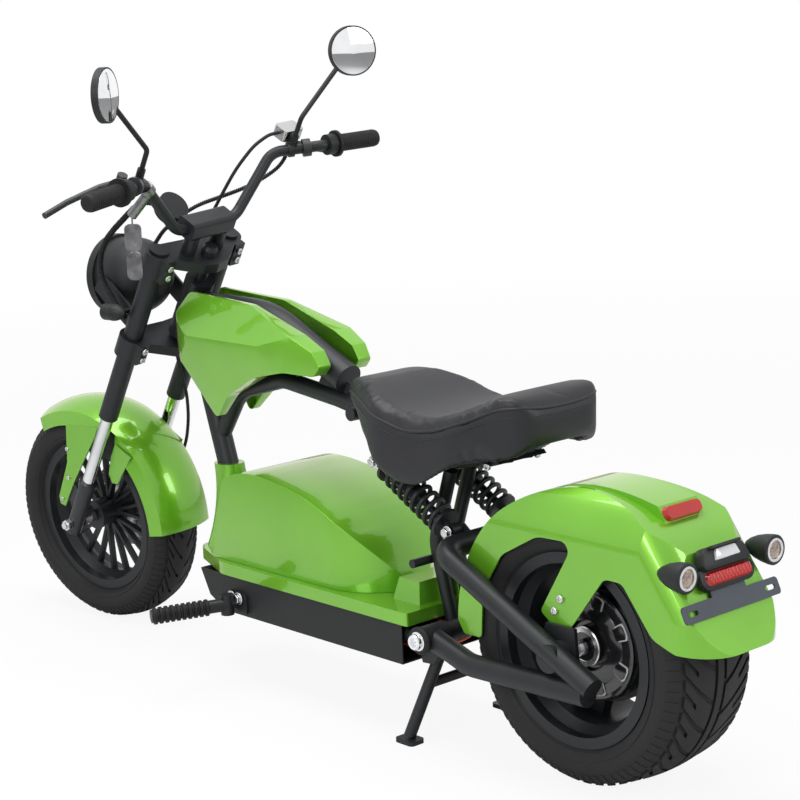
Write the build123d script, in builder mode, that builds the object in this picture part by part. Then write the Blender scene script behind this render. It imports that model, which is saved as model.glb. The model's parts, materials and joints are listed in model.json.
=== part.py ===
"""Electric chopper scooter, standing on its centre stand.

Millimetres. +X points to the front wheel, +Y to the rider's left, +Z up, and the
ground is Z = 0. Two local frames carry the pieces: the chassis frame, which starts
on the ground below the rear axle, and the steering frame, whose Z runs up the raked
steering axis and which is turned to the left by the angle at which the bars rest.
In both, X is forward, Y is left and Z is up (or up the steering axis).
"""

import os
from math import asin, atan2, cos, degrees, hypot, pi, radians, sin, tan

from build123d import *

os.makedirs("parts", exist_ok=True)

# ---------------------------------------------------------------- driving sizes

wheelbase = 1450
rear_axle_x = -703.7

rear_tyre_radius = 238
rear_tyre_width = 204
front_tyre_radius = 235
front_tyre_width = 122
rim_radius = 166
rear_wheel_lift = 4

rake = 31
fork_offset = 43
fork_half_spacing = 96
bar_rest_angle = 8

grip_half_span = 388
grip_height = 905
handlebar_radius = 11.1

deck_half_width = 125
deck_bottom = 142
deck_trim_bottom = 216
deck_rear = 384
deck_front = 940

sheet = 2.5
seat_gap = 0.3
moving_gap = 0.3

# ---------------------------------------------------------------- derived sizes

rake_rad = radians(rake)
rest_rad = radians(bar_rest_angle)
front_crown_half = 0.72 * front_tyre_width / 2
front_crown_drop = 13
front_crown_radius = (front_crown_half**2 + front_crown_drop**2) / (2 * front_crown_drop)
camber = asin(sin(rake_rad) * sin(rest_rad))
front_axle_height = (front_tyre_radius - front_crown_radius) * cos(camber) + front_crown_radius
rear_axle_height = rear_tyre_radius + rear_wheel_lift

steer_x = wheelbase - fork_offset * cos(rake_rad)
steer_z = front_axle_height - fork_offset * sin(rake_rad) * cos(rest_rad)

chassis = Plane(origin=(rear_axle_x, 0, 0), x_dir=(1, 0, 0), z_dir=(0, 0, 1))
steering = Plane(
    origin=(rear_axle_x + steer_x, 0, steer_z),
    x_dir=(cos(rake_rad) * cos(rest_rad), sin(rest_rad), sin(rake_rad) * cos(rest_rad)),
    z_dir=(-sin(rake_rad), 0, cos(rake_rad)),
)


def side_plane(base, left=0):
    """A plane seen from the right: local x forward, local y up, `left` mm off the middle."""
    origin = base.from_local_coords((0, left, 0))
    return Plane(origin=origin, x_dir=base.x_dir, z_dir=-base.y_dir)


def cross_plane(base, along, height=0):
    """A plane square to the frame's X: local x left, local y up."""
    origin = base.from_local_coords((along, 0, height))
    return Plane(origin=origin, x_dir=base.y_dir, z_dir=base.x_dir)


def axle_plane(base, along, height):
    """A plane at an axle: local z runs along the axle to the left, local x forward."""
    origin = base.from_local_coords((along, 0, height))
    return Plane(origin=origin, x_dir=base.x_dir, z_dir=base.y_dir)


def spin_section(hub):
    """The plane of a wheel's half section: local x is the radius, local y points left."""
    return Plane(origin=hub.origin, x_dir=hub.x_dir, z_dir=-hub.y_dir)


def spin_axis(hub):
    return Axis(hub.origin, hub.z_dir)


def tube(base, points, radius, bend, mode=Mode.ADD):
    """A round bar through the frame's points, with a bend of the given radius at each corner."""
    places = [base.from_local_coords(point) for point in points]
    with BuildLine() as route:
        if len(places) == 2:
            Line(*places)
        else:
            FilletPolyline(*places, radius=bend)
    with BuildSketch(Plane(origin=route.line @ 0, z_dir=route.line % 0)) as section:
        Circle(radius)
    sweep(section.sketch, path=route.line, mode=mode)


def bar(base, start, end, radius, mode=Mode.ADD):
    """A straight round bar from one of the frame's points to another."""
    first = base.from_local_coords(start)
    last = base.from_local_coords(end)
    with BuildSketch(Plane(origin=first, z_dir=last - first)) as section:
        Circle(radius)
    extrude(section.sketch, amount=(last - first).length, mode=mode)


def dome_middle(edge, depth):
    """The middle point of an arc from (edge, 0) to (0, depth) whose centre is on the axis."""
    radius = (edge**2 + depth**2) / (2 * depth)
    half = asin(edge / radius) / 2 if depth < edge else (radians(180) - asin(edge / radius)) / 2
    return (radius * sin(half), depth - radius * (1 - cos(half)))


def finish(piece, name):
    piece.part.label = name
    export_step(piece.part, f"parts/{name}.step")


# ---------------------------------------------------------------- wheels

front_hub = axle_plane(steering, fork_offset, 0)
rear_hub = axle_plane(chassis, 0, rear_axle_height)
axle_radius = 7
bearing_gap = 0.3
bead_radius = rim_radius - 12
flange_thickness = 5


def tyre(hub, radius, width, bead_half, crown_half, crown_drop, name):
    """A tyre ring: flat beads on the rim, round sidewalls and a round crown."""
    half = width / 2
    shoulder = radius - crown_drop
    wide = rim_radius + 0.52 * (shoulder - rim_radius)
    with BuildPart() as piece:
        with BuildSketch(spin_section(hub)):
            with BuildLine():
                Line((bead_radius, -bead_half), (bead_radius, bead_half))
                Line((bead_radius, bead_half), (rim_radius, bead_half + 1.5))
                ThreePointArc((rim_radius, bead_half + 1.5), (wide, half), (shoulder, crown_half))
                ThreePointArc((shoulder, crown_half), (radius, 0), (shoulder, -crown_half))
                ThreePointArc((shoulder, -crown_half), (wide, -half), (rim_radius, -bead_half - 1.5))
                Line((rim_radius, -bead_half - 1.5), (bead_radius, -bead_half))
            make_face()
        revolve(axis=spin_axis(hub))
    finish(piece, name)


def rim_barrel(hub, bead_half, well_radius):
    """The rim's barrel: bead seats, a drop centre and a flange outside each bead."""
    outer = bead_half + flange_thickness
    slope = 14
    with BuildSketch(spin_section(hub)) as section:
        with BuildLine():
            Polyline(
                (bead_radius - 7, -outer),
                (rim_radius, -outer),
                (rim_radius, -bead_half - 1.5),
                (bead_radius, -bead_half),
                (bead_radius, -bead_half + slope),
                (well_radius + 5, -bead_half + 2 * slope),
                (well_radius + 5, bead_half - 2 * slope),
                (bead_radius, bead_half - slope),
                (bead_radius, bead_half),
                (rim_radius, bead_half + 1.5),
                (rim_radius, outer),
                (bead_radius - 7, outer),
                (bead_radius - 7, bead_half - slope),
                (well_radius, bead_half - 2 * slope - 4),
                (well_radius, -bead_half + 2 * slope + 4),
                (bead_radius - 7, -bead_half + slope),
                close=True,
            )
        make_face()
    revolve(section.sketch, axis=spin_axis(hub))


front_bead_half = 38
front_well_radius = 136
rear_bead_half = 88
rear_well_radius = 134

tyre(front_hub, front_tyre_radius, front_tyre_width, front_bead_half,
     front_crown_half, front_crown_drop, "front_tyre")
tyre(rear_hub, rear_tyre_radius, rear_tyre_width, rear_bead_half,
     0.83 * rear_tyre_width / 2, 12, "rear_tyre")

# Front rim: ten forked spokes between the hub and the barrel.
front_hub_radius = 31
front_hub_half = 44
spoke_pairs = 10
spoke_width = 7
spoke_thickness = 13
spoke_spread = 9.5

with BuildPart() as front_rim:
    rim_barrel(front_hub, front_bead_half, front_well_radius)
    with BuildSketch(front_hub.offset(-front_hub_half)):
        Circle(front_hub_radius)
    extrude(amount=2 * front_hub_half)
    with BuildSketch(front_hub.offset(-spoke_thickness / 2)):
        for pair in range(spoke_pairs):
            for lean in (-spoke_spread, spoke_spread):
                turn = 360 / spoke_pairs * pair
                inner = Vector(front_hub_radius - 4, 0).rotate(Axis.Z, turn)
                outer = Vector(front_well_radius + 3, 0).rotate(Axis.Z, turn + lean)
                reach = outer - inner
                middle = (inner + outer) * 0.5
                with Locations(Location(middle, (0, 0, degrees(atan2(reach.Y, reach.X))))):
                    Rectangle(reach.length, spoke_width)
    extrude(amount=spoke_thickness)
    with BuildSketch(front_hub.offset(-front_hub_half)):
        Circle(axle_radius + bearing_gap)
    extrude(amount=2 * front_hub_half, mode=Mode.SUBTRACT)
finish(front_rim, "front_rim")

# Rear rim: a wide barrel on a five-arm web that carries the hub motor.
motor_radius = 98
motor_half = 46
web_thickness = 22
rear_arms = 5
rear_arm_width = 62

with BuildPart() as rear_rim:
    rim_barrel(rear_hub, rear_bead_half, rear_well_radius)
    with BuildSketch(rear_hub.offset(-web_thickness / 2)) as web:
        Circle(motor_radius + 8)
        Circle(motor_radius, mode=Mode.SUBTRACT)
        reach = rear_well_radius - motor_radius
        with PolarLocations(motor_radius + reach / 2 + 2, rear_arms):
            Rectangle(reach, rear_arm_width)
    extrude(amount=web_thickness)
finish(rear_rim, "rear_rim")

# Hub motor: one plain block, its covers and the boss that carries the silver ring.
motor_boss_radius = 34
motor_boss_half = 62

with BuildPart() as hub_motor:
    with BuildSketch(rear_hub.offset(-motor_half)):
        Circle(motor_radius)
    extrude(amount=2 * motor_half)
    with BuildSketch(rear_hub.offset(-motor_boss_half)):
        Circle(motor_boss_radius)
    extrude(amount=2 * motor_boss_half)
    with BuildSketch(rear_hub.offset(-motor_boss_half)):
        Circle(axle_radius + 1 + bearing_gap)
    extrude(amount=2 * motor_boss_half, mode=Mode.SUBTRACT)
    chamfer(hub_motor.edges().filter_by(GeomType.CIRCLE).filter_by(
        lambda edge: abs(edge.radius - motor_radius) < 0.1), length=10)
finish(hub_motor, "hub_motor")


def brake_disc(hub, radius, offset, thickness, inner, name):
    """A drilled disc on the wheel's right side."""
    with BuildPart() as piece:
        with BuildSketch(hub.offset(offset)):
            Circle(radius)
            Circle(inner, mode=Mode.SUBTRACT)
            with PolarLocations((radius + inner) / 2 + 12, 12):
                Circle(5, mode=Mode.SUBTRACT)
        extrude(amount=thickness)
    finish(piece, name)


disc_thickness = 4
front_disc_radius = 92
rear_disc_radius = 92
brake_disc(front_hub, front_disc_radius, -front_hub_half - disc_thickness, disc_thickness, 24,
           "front_brake_disc")
brake_disc(rear_hub, rear_disc_radius, -motor_boss_half - disc_thickness, disc_thickness, 26,
           "rear_brake_disc")

# ---------------------------------------------------------------- fork

stanchion_radius = 13.5
sleeve_radius = 20
lower_radius = 17
lower_tip = -24
lower_top = 113
sleeve_bottom = 290
fork_top = 712
lower_clamp_low = 455
lower_clamp_high = 500
upper_clamp_low = 655
upper_clamp_high = 706
plate_thickness = 22
fender_half = 76
fender_wall = 3
lug_plate = 4
clamp_boss = sleeve_radius + 8

with BuildPart() as fork_sleeves:
    for left in (fork_half_spacing, -fork_half_spacing):
        bar(steering, (fork_offset, left, sleeve_bottom), (fork_offset, left, fork_top), sleeve_radius)
finish(fork_sleeves, "fork_sleeves")

with BuildPart() as fork_stanchions:
    for left in (fork_half_spacing, -fork_half_spacing):
        bar(steering, (fork_offset, left, lower_top), (fork_offset, left, sleeve_bottom), stanchion_radius)
finish(fork_stanchions, "fork_stanchions")

with BuildPart() as fork_lowers:
    for left in (fork_half_spacing, -fork_half_spacing):
        bar(steering, (fork_offset, left, lower_tip), (fork_offset, left, lower_top), lower_radius)
        bar(steering, (fork_offset, left, lower_top - 16), (fork_offset, left, lower_top), lower_radius + 2)
    # lugs that carry the fender's front ears
    lug_face = fender_half - fender_wall - seat_gap
    lug_reach = fork_half_spacing - lower_radius - lug_face + lug_plate + 3.7
    for left in (1, -1):
        with BuildSketch(side_plane(steering, left * lug_face)):
            Polygon((32, 16), (60, 15), (118, 6), (130, 16), (128, 64), (112, 70), (100, 60), (70, 40), (32, 40),
                    align=None)
        extrude(amount=left * lug_plate)
        with BuildSketch(side_plane(steering, left * (lug_face - lug_plate))):
            Polygon((32, 16), (54, 16), (54, 40), (32, 40), align=None)
        extrude(amount=-left * lug_reach)
    bar(steering, (fork_offset, fork_half_spacing + 40, 0), (fork_offset, -fork_half_spacing - 40, 0),
        axle_radius, mode=Mode.SUBTRACT)
finish(fork_lowers, "fork_lowers")

axle_stub = 30
axle_nut_radius = 12
spacer_radius = 13
spacer_inner = front_hub_half + disc_thickness + 1

with BuildPart() as front_axle:
    bar(steering, (fork_offset, fork_half_spacing + axle_stub + 4, 0),
        (fork_offset, -fork_half_spacing - axle_stub, 0), axle_radius)
    for left in (1, -1):
        face = left * (fork_half_spacing + lower_radius + 0.5)
        with BuildSketch(front_hub.offset(face)):
            RegularPolygon(axle_nut_radius, 6)
        extrude(amount=left * 11)
        inner = left * spacer_inner
        outer = left * (fork_half_spacing - lower_radius)
        bar(steering, (fork_offset, inner, 0), (fork_offset, outer, 0), spacer_radius)
finish(front_axle, "front_axle")


def clamp_plate(low, high, plate_low, bore_clear, stem, name):
    """A fork bridge: a boss round each fork leg, a plate between them and the stem's boss."""
    with BuildPart() as piece:
        with BuildSketch(steering.offset(low)):
            with Locations((fork_offset, fork_half_spacing), (fork_offset, -fork_half_spacing)):
                Circle(clamp_boss)
        extrude(amount=high - low)
        with BuildSketch(steering.offset(plate_low)):
            with BuildLine():
                Polyline(
                    (fork_offset + 22, fork_half_spacing),
                    (fork_offset + 16, 0),
                    (fork_offset + 22, -fork_half_spacing),
                    (fork_offset - 22, -fork_half_spacing - 6),
                    (-28, -30),
                    (-34, 0),
                    (-28, 30),
                    (fork_offset - 22, fork_half_spacing + 6),
                    close=True,
                )
            make_face()
        extrude(amount=plate_thickness)
        with BuildSketch(steering.offset(low)):
            with Locations((fork_offset - 26, fork_half_spacing), (fork_offset - 26, -fork_half_spacing)):
                Rectangle(26, 26)
        extrude(amount=high - low)
        with BuildSketch(steering.offset(low - 1)):
            with Locations((fork_offset, fork_half_spacing), (fork_offset, -fork_half_spacing)):
                Circle(sleeve_radius + bore_clear)
        extrude(amount=high - low + 2, mode=Mode.SUBTRACT)
        stem()
    finish(piece, name)


head_low = 512
head_high = 646
head_radius = 30
stem_radius = 12.5


def stem_post():
    bar(steering, (0, 0, lower_clamp_low + 10), (0, 0, upper_clamp_high + 14), stem_radius)


def stem_hole():
    bar(steering, (0, 0, upper_clamp_low - 10), (0, 0, upper_clamp_high + 10), stem_radius,
        mode=Mode.SUBTRACT)


clamp_plate(lower_clamp_low, lower_clamp_high, lower_clamp_high - plate_thickness, 0, stem_post, "lower_clamp")
clamp_plate(upper_clamp_low, upper_clamp_high, upper_clamp_high - plate_thickness, 0, stem_hole, "upper_clamp")

stem_nut_radius = 16

with BuildPart() as stem_nut:
    with BuildSketch(steering.offset(upper_clamp_high)):
        Circle(stem_nut_radius)
        Circle(stem_radius, mode=Mode.SUBTRACT)
    extrude(amount=14)
    with BuildSketch(steering.offset(upper_clamp_high + 14)):
        Circle(stem_nut_radius)
    extrude(amount=8, taper=25)
finish(stem_nut, "stem_nut")

# ---------------------------------------------------------------- front fender

fender_radius = 258
fender_front_angle = 27
fender_rear_angle = 145
fender_edge_radius = 208

with BuildPart() as front_fender:
    with BuildSketch(spin_section(front_hub)):
        with BuildLine():
            outer_shoulder = fender_radius - 20
            ThreePointArc((outer_shoulder, fender_half - 8), (fender_radius, 0),
                          (outer_shoulder, 8 - fender_half))
            Line((outer_shoulder, 8 - fender_half), (fender_edge_radius, -fender_half))
            Line((fender_edge_radius, -fender_half), (fender_edge_radius, fender_wall - fender_half))
            inner_half = fender_half - fender_wall
            inner_shoulder = outer_shoulder - 2
            Line((fender_edge_radius, fender_wall - fender_half), (inner_shoulder, 8 - inner_half))
            ThreePointArc((inner_shoulder, 8 - inner_half), (fender_radius - fender_wall, 0),
                          (inner_shoulder, inner_half - 8))
            Line((inner_shoulder, inner_half - 8), (fender_edge_radius, inner_half))
            Line((fender_edge_radius, inner_half), (fender_edge_radius, fender_half))
            Line((fender_edge_radius, fender_half), (outer_shoulder, fender_half - 8))
        make_face()
    revolve(axis=Axis(front_hub.origin, -front_hub.z_dir), revolution_arc=360)
    # keep the arc over the wheel
    with BuildSketch(side_plane(steering, -fender_half - 5)):
        with Locations((fork_offset, 0)):
            front = Vector(400, 0).rotate(Axis.Z, fender_front_angle)
            rear = Vector(400, 0).rotate(Axis.Z, fender_rear_angle)
            with BuildLine(mode=Mode.PRIVATE) as wedge:
                Polyline((0, 0), (front.X, front.Y), (0, 480), (rear.X, rear.Y), close=True)
            make_face(wedge.edges())
    extrude(amount=-2 * fender_half - 10, mode=Mode.INTERSECT)
    for left in (1, -1):
        ear_plane = side_plane(steering, left * (fender_half - fender_wall))
        with BuildSketch(ear_plane):
            with Locations((fork_offset, 0)):
                Polygon((122, 172), (88, 92), (82, 0), (72, -12), (58, -8), (54, 60), (36, 200), (36, 226),
                        align=None)
                Polygon((-22, 226), (-22, 190), (-30, 150), (-46, 138), (-60, 146), (-72, 226), align=None)
        extrude(amount=-left * fender_wall)
        with BuildSketch(side_plane(steering, left * (fender_half - 12))):
            with Locations((fork_offset, 0)):
                Polygon((36, 170), (36, 216), (22, 238), (-8, 238), (-22, 216), (-22, 170), align=None)
        extrude(amount=-left * 20, mode=Mode.SUBTRACT)
finish(front_fender, "front_fender")

# ---------------------------------------------------------------- front caliper

caliper_height = 62
caliper_back = -62
caliper_gap = 2.5
disc_plane_left = -front_hub_half - disc_thickness / 2

with BuildPart() as front_caliper:
    with BuildSketch(side_plane(steering, disc_plane_left + 20)):
        with Locations((fork_offset + caliper_back, caliper_height)):
            RectangleRounded(46, 66, 14)
    extrude(amount=40)
    with BuildSketch(front_hub.offset(disc_plane_left - disc_thickness / 2 - caliper_gap)):
        Circle(front_disc_radius + caliper_gap)
    extrude(amount=disc_thickness + 2 * caliper_gap, mode=Mode.SUBTRACT)
    with BuildSketch(side_plane(steering, disc_plane_left - 20)):
        with Locations((fork_offset + caliper_back / 2, caliper_height)):
            Rectangle(-caliper_back + 10, 36)
    extrude(amount=fork_half_spacing - lower_radius + disc_plane_left - 18)
    with BuildSketch(steering.offset(caliper_height - 30)):
        with Locations((fork_offset, -fork_half_spacing)):
            Circle(lower_radius + seat_gap)
    extrude(amount=60, mode=Mode.SUBTRACT)
finish(front_caliper, "front_caliper")

# ---------------------------------------------------------------- headlight

headlight_forward = 158
headlight_up = 548
headlight_radius = 78
headlight_length = 62
headlight_back = 74
headlight_ring = 84
headlight_forward_dir = steering.x_dir * cos(rake_rad) - steering.z_dir * sin(rake_rad)

headlight_hub = Plane(
    origin=steering.from_local_coords((headlight_forward, 0, headlight_up)),
    x_dir=steering.y_dir,
    z_dir=headlight_forward_dir,
)
headlight_section = Plane(origin=headlight_hub.origin, x_dir=headlight_hub.y_dir, z_dir=headlight_hub.x_dir)

with BuildPart() as headlight:
    with BuildSketch(headlight_section):
        with BuildLine():
            Line((0, -headlight_back), (0, headlight_length - 14))
            Line((0, headlight_length - 14), (headlight_ring - 6, headlight_length - 14))
            Line((headlight_ring - 6, headlight_length - 14), (headlight_ring - 6, headlight_length))
            Line((headlight_ring - 6, headlight_length), (headlight_ring, headlight_length))
            Line((headlight_ring, headlight_length), (headlight_ring, headlight_length - 18))
            Line((headlight_ring, headlight_length - 18), (headlight_radius, headlight_length - 18))
            Line((headlight_radius, headlight_length - 18), (headlight_radius, 0))
            back_middle = dome_middle(headlight_radius, headlight_back)
            ThreePointArc((headlight_radius, 0), (back_middle[0], -back_middle[1]), (0, -headlight_back))
        make_face()
    revolve(axis=Axis(headlight_hub.origin, headlight_hub.z_dir))
finish(headlight, "headlight")

with BuildPart() as headlight_lens:
    with BuildSketch(headlight_section):
        lens_edge = headlight_ring - 6 - seat_gap
        lens_rim = headlight_length - 8
        lens_bulge = dome_middle(lens_edge, 16)
        with BuildLine():
            Polyline((0, headlight_length - 14), (lens_edge, headlight_length - 14), (lens_edge, lens_rim))
            ThreePointArc((lens_edge, lens_rim), (lens_bulge[0], lens_rim + lens_bulge[1]), (0, lens_rim + 16))
            Line((0, lens_rim + 16), (0, headlight_length - 14))
        make_face()
    revolve(axis=Axis(headlight_hub.origin, headlight_hub.z_dir))
finish(headlight_lens, "headlight_lens")

# Two arms from the front of the lower clamp carry the bucket by its sides.
arm_thickness = 5

with BuildPart() as headlight_bracket:
    for left in (1, -1):
        with BuildSketch(side_plane(steering, left * (headlight_radius + seat_gap))):
            with BuildLine():
                FilletPolyline(
                    (fork_offset + 12, lower_clamp_high - 4),
                    (fork_offset + 40, lower_clamp_high - 4),
                    (headlight_forward + 30, headlight_up - 34),
                    (headlight_forward + 22, headlight_up + 6),
                    (headlight_forward - 12, headlight_up + 6),
                    (fork_offset + 12, lower_clamp_high + 34),
                    close=True, radius=6,
                )
            make_face()
        extrude(amount=-left * arm_thickness)
        bar(steering, (fork_offset, left * fork_half_spacing, lower_clamp_low),
            (fork_offset, left * fork_half_spacing, headlight_up + 20), clamp_boss + seat_gap,
            mode=Mode.SUBTRACT)
finish(headlight_bracket, "headlight_bracket")

# ---------------------------------------------------------------- front indicators

indicator_left = fork_half_spacing + 36
indicator_radius = 17
indicator_length = 56
stalk_radius = 5


def indicator(base, forward, left, up, along, length, radius):
    """A bullet-shaped lamp: round at one end, flat where its lens faces `along`."""
    centre = base.from_local_coords((forward, left, up))
    section = Plane(origin=centre, x_dir=along.cross(base.y_dir), z_dir=base.y_dir)
    with BuildSketch(section) as profile:
        with BuildLine():
            Line((0, -length * 0.7), (0, length * 0.3))
            Line((0, length * 0.3), (radius, length * 0.3))
            Line((radius, length * 0.3), (radius, 0))
            ThreePointArc((radius, 0), (radius * 0.74, -length * 0.45), (0, -length * 0.7))
        make_face()
    revolve(profile.sketch, axis=Axis(centre, along))


with BuildPart() as front_indicators:
    for left in (1, -1):
        indicator(steering, 84, left * indicator_left, 540, headlight_forward_dir, indicator_length,
                  indicator_radius)
        bar(steering, (80, left * (indicator_left - 8), 536),
            (80, left * (headlight_radius + 2 * seat_gap + arm_thickness), 536), stalk_radius)
finish(front_indicators, "front_indicators")

# ---------------------------------------------------------------- handlebar

grip_end = Vector(-12, grip_half_span, 917)
grip_corner = Vector(14, 262, 905)
bar_knee = Vector(66, 178, 872)
bar_foot = Vector(28, 80, 760)


def mirrored(point, left):
    """The steering frame's point as a tuple, on the left (1) or the right (-1)."""
    return (point.X, left * point.Y, point.Z)


bar_points = [mirrored(point, 1) for point in (grip_end, grip_corner, bar_knee, bar_foot)]
bar_points += [mirrored(point, -1) for point in (bar_foot, bar_knee, grip_corner, grip_end)]

with BuildPart() as handlebar:
    tube(steering, bar_points, handlebar_radius, 45)
finish(handlebar, "handlebar")

riser_spread = 38
riser_radius = 15
clamp_half = 58

with BuildPart() as bar_clamp:
    for left in (riser_spread, -riser_spread):
        bar(steering, (20, left, upper_clamp_high), (20, left, 746), riser_radius)
    with BuildSketch(side_plane(steering, clamp_half)):
        with Locations((28, 762)):
            RectangleRounded(48, 38, 10)
    extrude(amount=2 * clamp_half)
    with BuildSketch(side_plane(steering, clamp_half + 1)):
        with Locations((28, 760)):
            Circle(handlebar_radius)
    extrude(amount=2 * clamp_half + 2, mode=Mode.SUBTRACT)
finish(bar_clamp, "bar_clamp")

grip_radius = 17
grip_inner = 288
flange_radius = 27

with BuildPart() as grips:
    for left in (1, -1):
        start = steering.from_local_coords(mirrored(grip_end, left))
        along = (steering.from_local_coords(mirrored(grip_corner, left)) - start).normalized()
        grip_length = grip_half_span - grip_inner
        with BuildSketch(Plane(origin=start - along * 8, z_dir=along)):
            Circle(grip_radius)
        extrude(amount=grip_length)
        with BuildSketch(Plane(origin=start + along * (grip_length - 8), z_dir=along)):
            Circle(flange_radius)
        extrude(amount=6)
        with BuildSketch(Plane(origin=start, z_dir=along)):
            Circle(handlebar_radius)
        extrude(amount=grip_length, mode=Mode.SUBTRACT)
    across = Axis(steering.origin, steering.y_dir)
    for end in (0, -1):
        fillet(grips.edges().filter_by(GeomType.CIRCLE).sort_by(across)[end], radius=7)
finish(grips, "grips")

# Switch housings, levers and the right lever's fluid reservoir.
housing_radius = 21
housing_length = 19
perch_radius = 18
perch_length = 16
perch_reach = 24
lever_pivot = Vector(68, 232, 882)
reservoir_low = 897

with BuildPart() as switch_housings:
    for left in (1, -1):
        start = steering.from_local_coords(mirrored(grip_end, left))
        along = (steering.from_local_coords(mirrored(grip_corner, left)) - start).normalized()
        with BuildSketch(Plane(origin=start + along * grip_length, z_dir=along)):
            Circle(housing_radius)
            Circle(handlebar_radius, mode=Mode.SUBTRACT)
        extrude(amount=housing_length)
finish(switch_housings, "switch_housings")

with BuildPart() as brake_levers:
    for left in (1, -1):
        corner = steering.from_local_coords(mirrored(grip_corner, left))
        knee = steering.from_local_coords(mirrored(bar_knee, left))
        along = (knee - corner).normalized()
        with BuildSketch(Plane(origin=corner + along * perch_reach, z_dir=along)):
            Circle(perch_radius)
        extrude(amount=perch_length)
        bar(steering, (36, left * 238, 893), mirrored(lever_pivot, left), 9)
        bar(steering, (68, left * 232, 872), (68, left * 232, reservoir_low - seat_gap), 10)
        tube(steering, [mirrored(lever_pivot, left), (88, left * 262, 862), (94, left * 330, 838),
                        (85, left * 388, 826)], 6, 28)
        with BuildSketch(Plane(origin=corner + along * (perch_reach - 30), z_dir=along)):
            Circle(handlebar_radius)
        extrude(amount=perch_length + 60, mode=Mode.SUBTRACT)
finish(brake_levers, "brake_levers")

with BuildPart() as brake_reservoir:
    with BuildSketch(steering.offset(reservoir_low)):
        with Locations((75, -220)):
            RectangleRounded(34, 54, 6)
    extrude(amount=24)
finish(brake_reservoir, "brake_reservoir")

# ---------------------------------------------------------------- mirrors

mirror_radius = 50
mirror_thickness = 13
mirror_rim = 3
mirror_turn = {1: radians(33), -1: radians(18)}
mirror_foot = grip_corner + (bar_knee - grip_corner) * 0.62
mirror_clamp_radius = 15
mirror_clamp_half = 6
mirror_centre = Vector(66, 330, 1086)


def mirror_plane(left):
    """The plane of a mirror's face, which looks back and a little inwards."""
    return Plane(
        origin=steering.from_local_coords(mirrored(mirror_centre, left)),
        z_dir=(-cos(mirror_turn[left]), -left * sin(mirror_turn[left]), 0),
    )


for name, left in (("left_mirror", 1), ("right_mirror", -1)):
    with BuildPart() as mirror:
        foot = steering.from_local_coords(mirrored(mirror_foot, left))
        along = (steering.from_local_coords(mirrored(bar_knee, left)) - foot).normalized()
        with BuildSketch(Plane(origin=foot - along * mirror_clamp_half, z_dir=along)):
            Circle(mirror_clamp_radius)
        extrude(amount=2 * mirror_clamp_half)
        bar(steering, mirrored(mirror_foot, left), mirrored(mirror_foot + Vector(0, 0, 34), left), 8)
        tube(steering, [mirrored(mirror_foot + Vector(0, 0, 20), left),
                        mirrored(mirror_foot + Vector(0, 0, 76), left),
                        (72, left * 318, 1070), (68, left * 328, 1084)], 5, 18)
        with BuildSketch(mirror_plane(left)):
            Circle(mirror_radius)
        extrude(amount=-mirror_thickness)
        with BuildSketch(mirror_plane(left)):
            Circle(mirror_radius - mirror_rim)
        extrude(amount=-2, mode=Mode.SUBTRACT)
        bar(steering, mirrored(grip_corner, left), mirrored(bar_knee, left), handlebar_radius,
            mode=Mode.SUBTRACT)
    finish(mirror, name)

with BuildPart() as mirror_glasses:
    for left in (1, -1):
        with BuildSketch(mirror_plane(left)):
            Circle(mirror_radius - mirror_rim)
        extrude(amount=-2)
finish(mirror_glasses, "mirror_glasses")

# ---------------------------------------------------------------- gauge

gauge_radius = 32

with BuildPart() as speedometer:
    gauge_facing = steering.z_dir - steering.x_dir * 0.4
    with BuildSketch(Plane(origin=steering.from_local_coords((96, 40, 752)), z_dir=gauge_facing)):
        Circle(gauge_radius)
    extrude(amount=26)
    bar(steering, (92, 38, 754), (52, 38, 754), 7)
finish(speedometer, "speedometer")

# ---------------------------------------------------------------- main frame


def on_axis(height):
    """A point of the steering axis, in the chassis frame."""
    return (steer_x - height * sin(rake_rad), 0, steer_z + height * cos(rake_rad))


spine_radius = 29
down_tube_radius = 21
arch_radius = 17
foot_x_front = 1004
foot_plate_low = deck_trim_bottom + 0.5
foot_plate_top = foot_plate_low + 8
down_tube_points = [on_axis(575), (foot_x_front, 0, 340), (foot_x_front, 0, foot_plate_top)]
spine_end = (640, 0, 611)
arch_end = (600, 0, 560)

with BuildPart() as front_frame:
    bar(steering, (0, 0, head_low), (0, 0, head_high), head_radius)
    tube(chassis, [on_axis(584), (860, 0, 712), spine_end], spine_radius, 260)
    tube(chassis, down_tube_points, down_tube_radius, 200)
    tube(chassis, [(1036, 0, 455), (968, 0, 552), (830, 0, 590), (670, 0, 572), arch_end], arch_radius, 90)
    with BuildSketch(side_plane(chassis, 4)):
        Polygon((640, 600), (700, 630), (730, 584), (640, 570), align=None)
    extrude(amount=8)
    # bracket between the side panels
    bar(chassis, (784, 0, 586), (784, 0, 622), 6)
    bar(chassis, (784, 44, 622.4), (784, -44, 622.4), 5)
    bar(steering, (0, 0, head_low - 5), (0, 0, head_high + 5), stem_radius + moving_gap, mode=Mode.SUBTRACT)
finish(front_frame, "front_frame")

rail_radius = 16
rail_left = 98
rail_height = 194
rail_front = 912
pivot_x = 300
pivot_z = 212
pivot_radius = 18
pivot_half = 98
pivot_bolt_radius = 6
post_left = 24
post_radius = 12.5
post_top = (346, 484)
stand_pivot_x = 345
stand_pivot_z = 160
stand_pin_radius = 6
stand_barrel_half = 13
lug_thickness = 14
lug_inner = rail_left - lug_thickness
stand_pivot_left = lug_inner - moving_gap - stand_barrel_half

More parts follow.
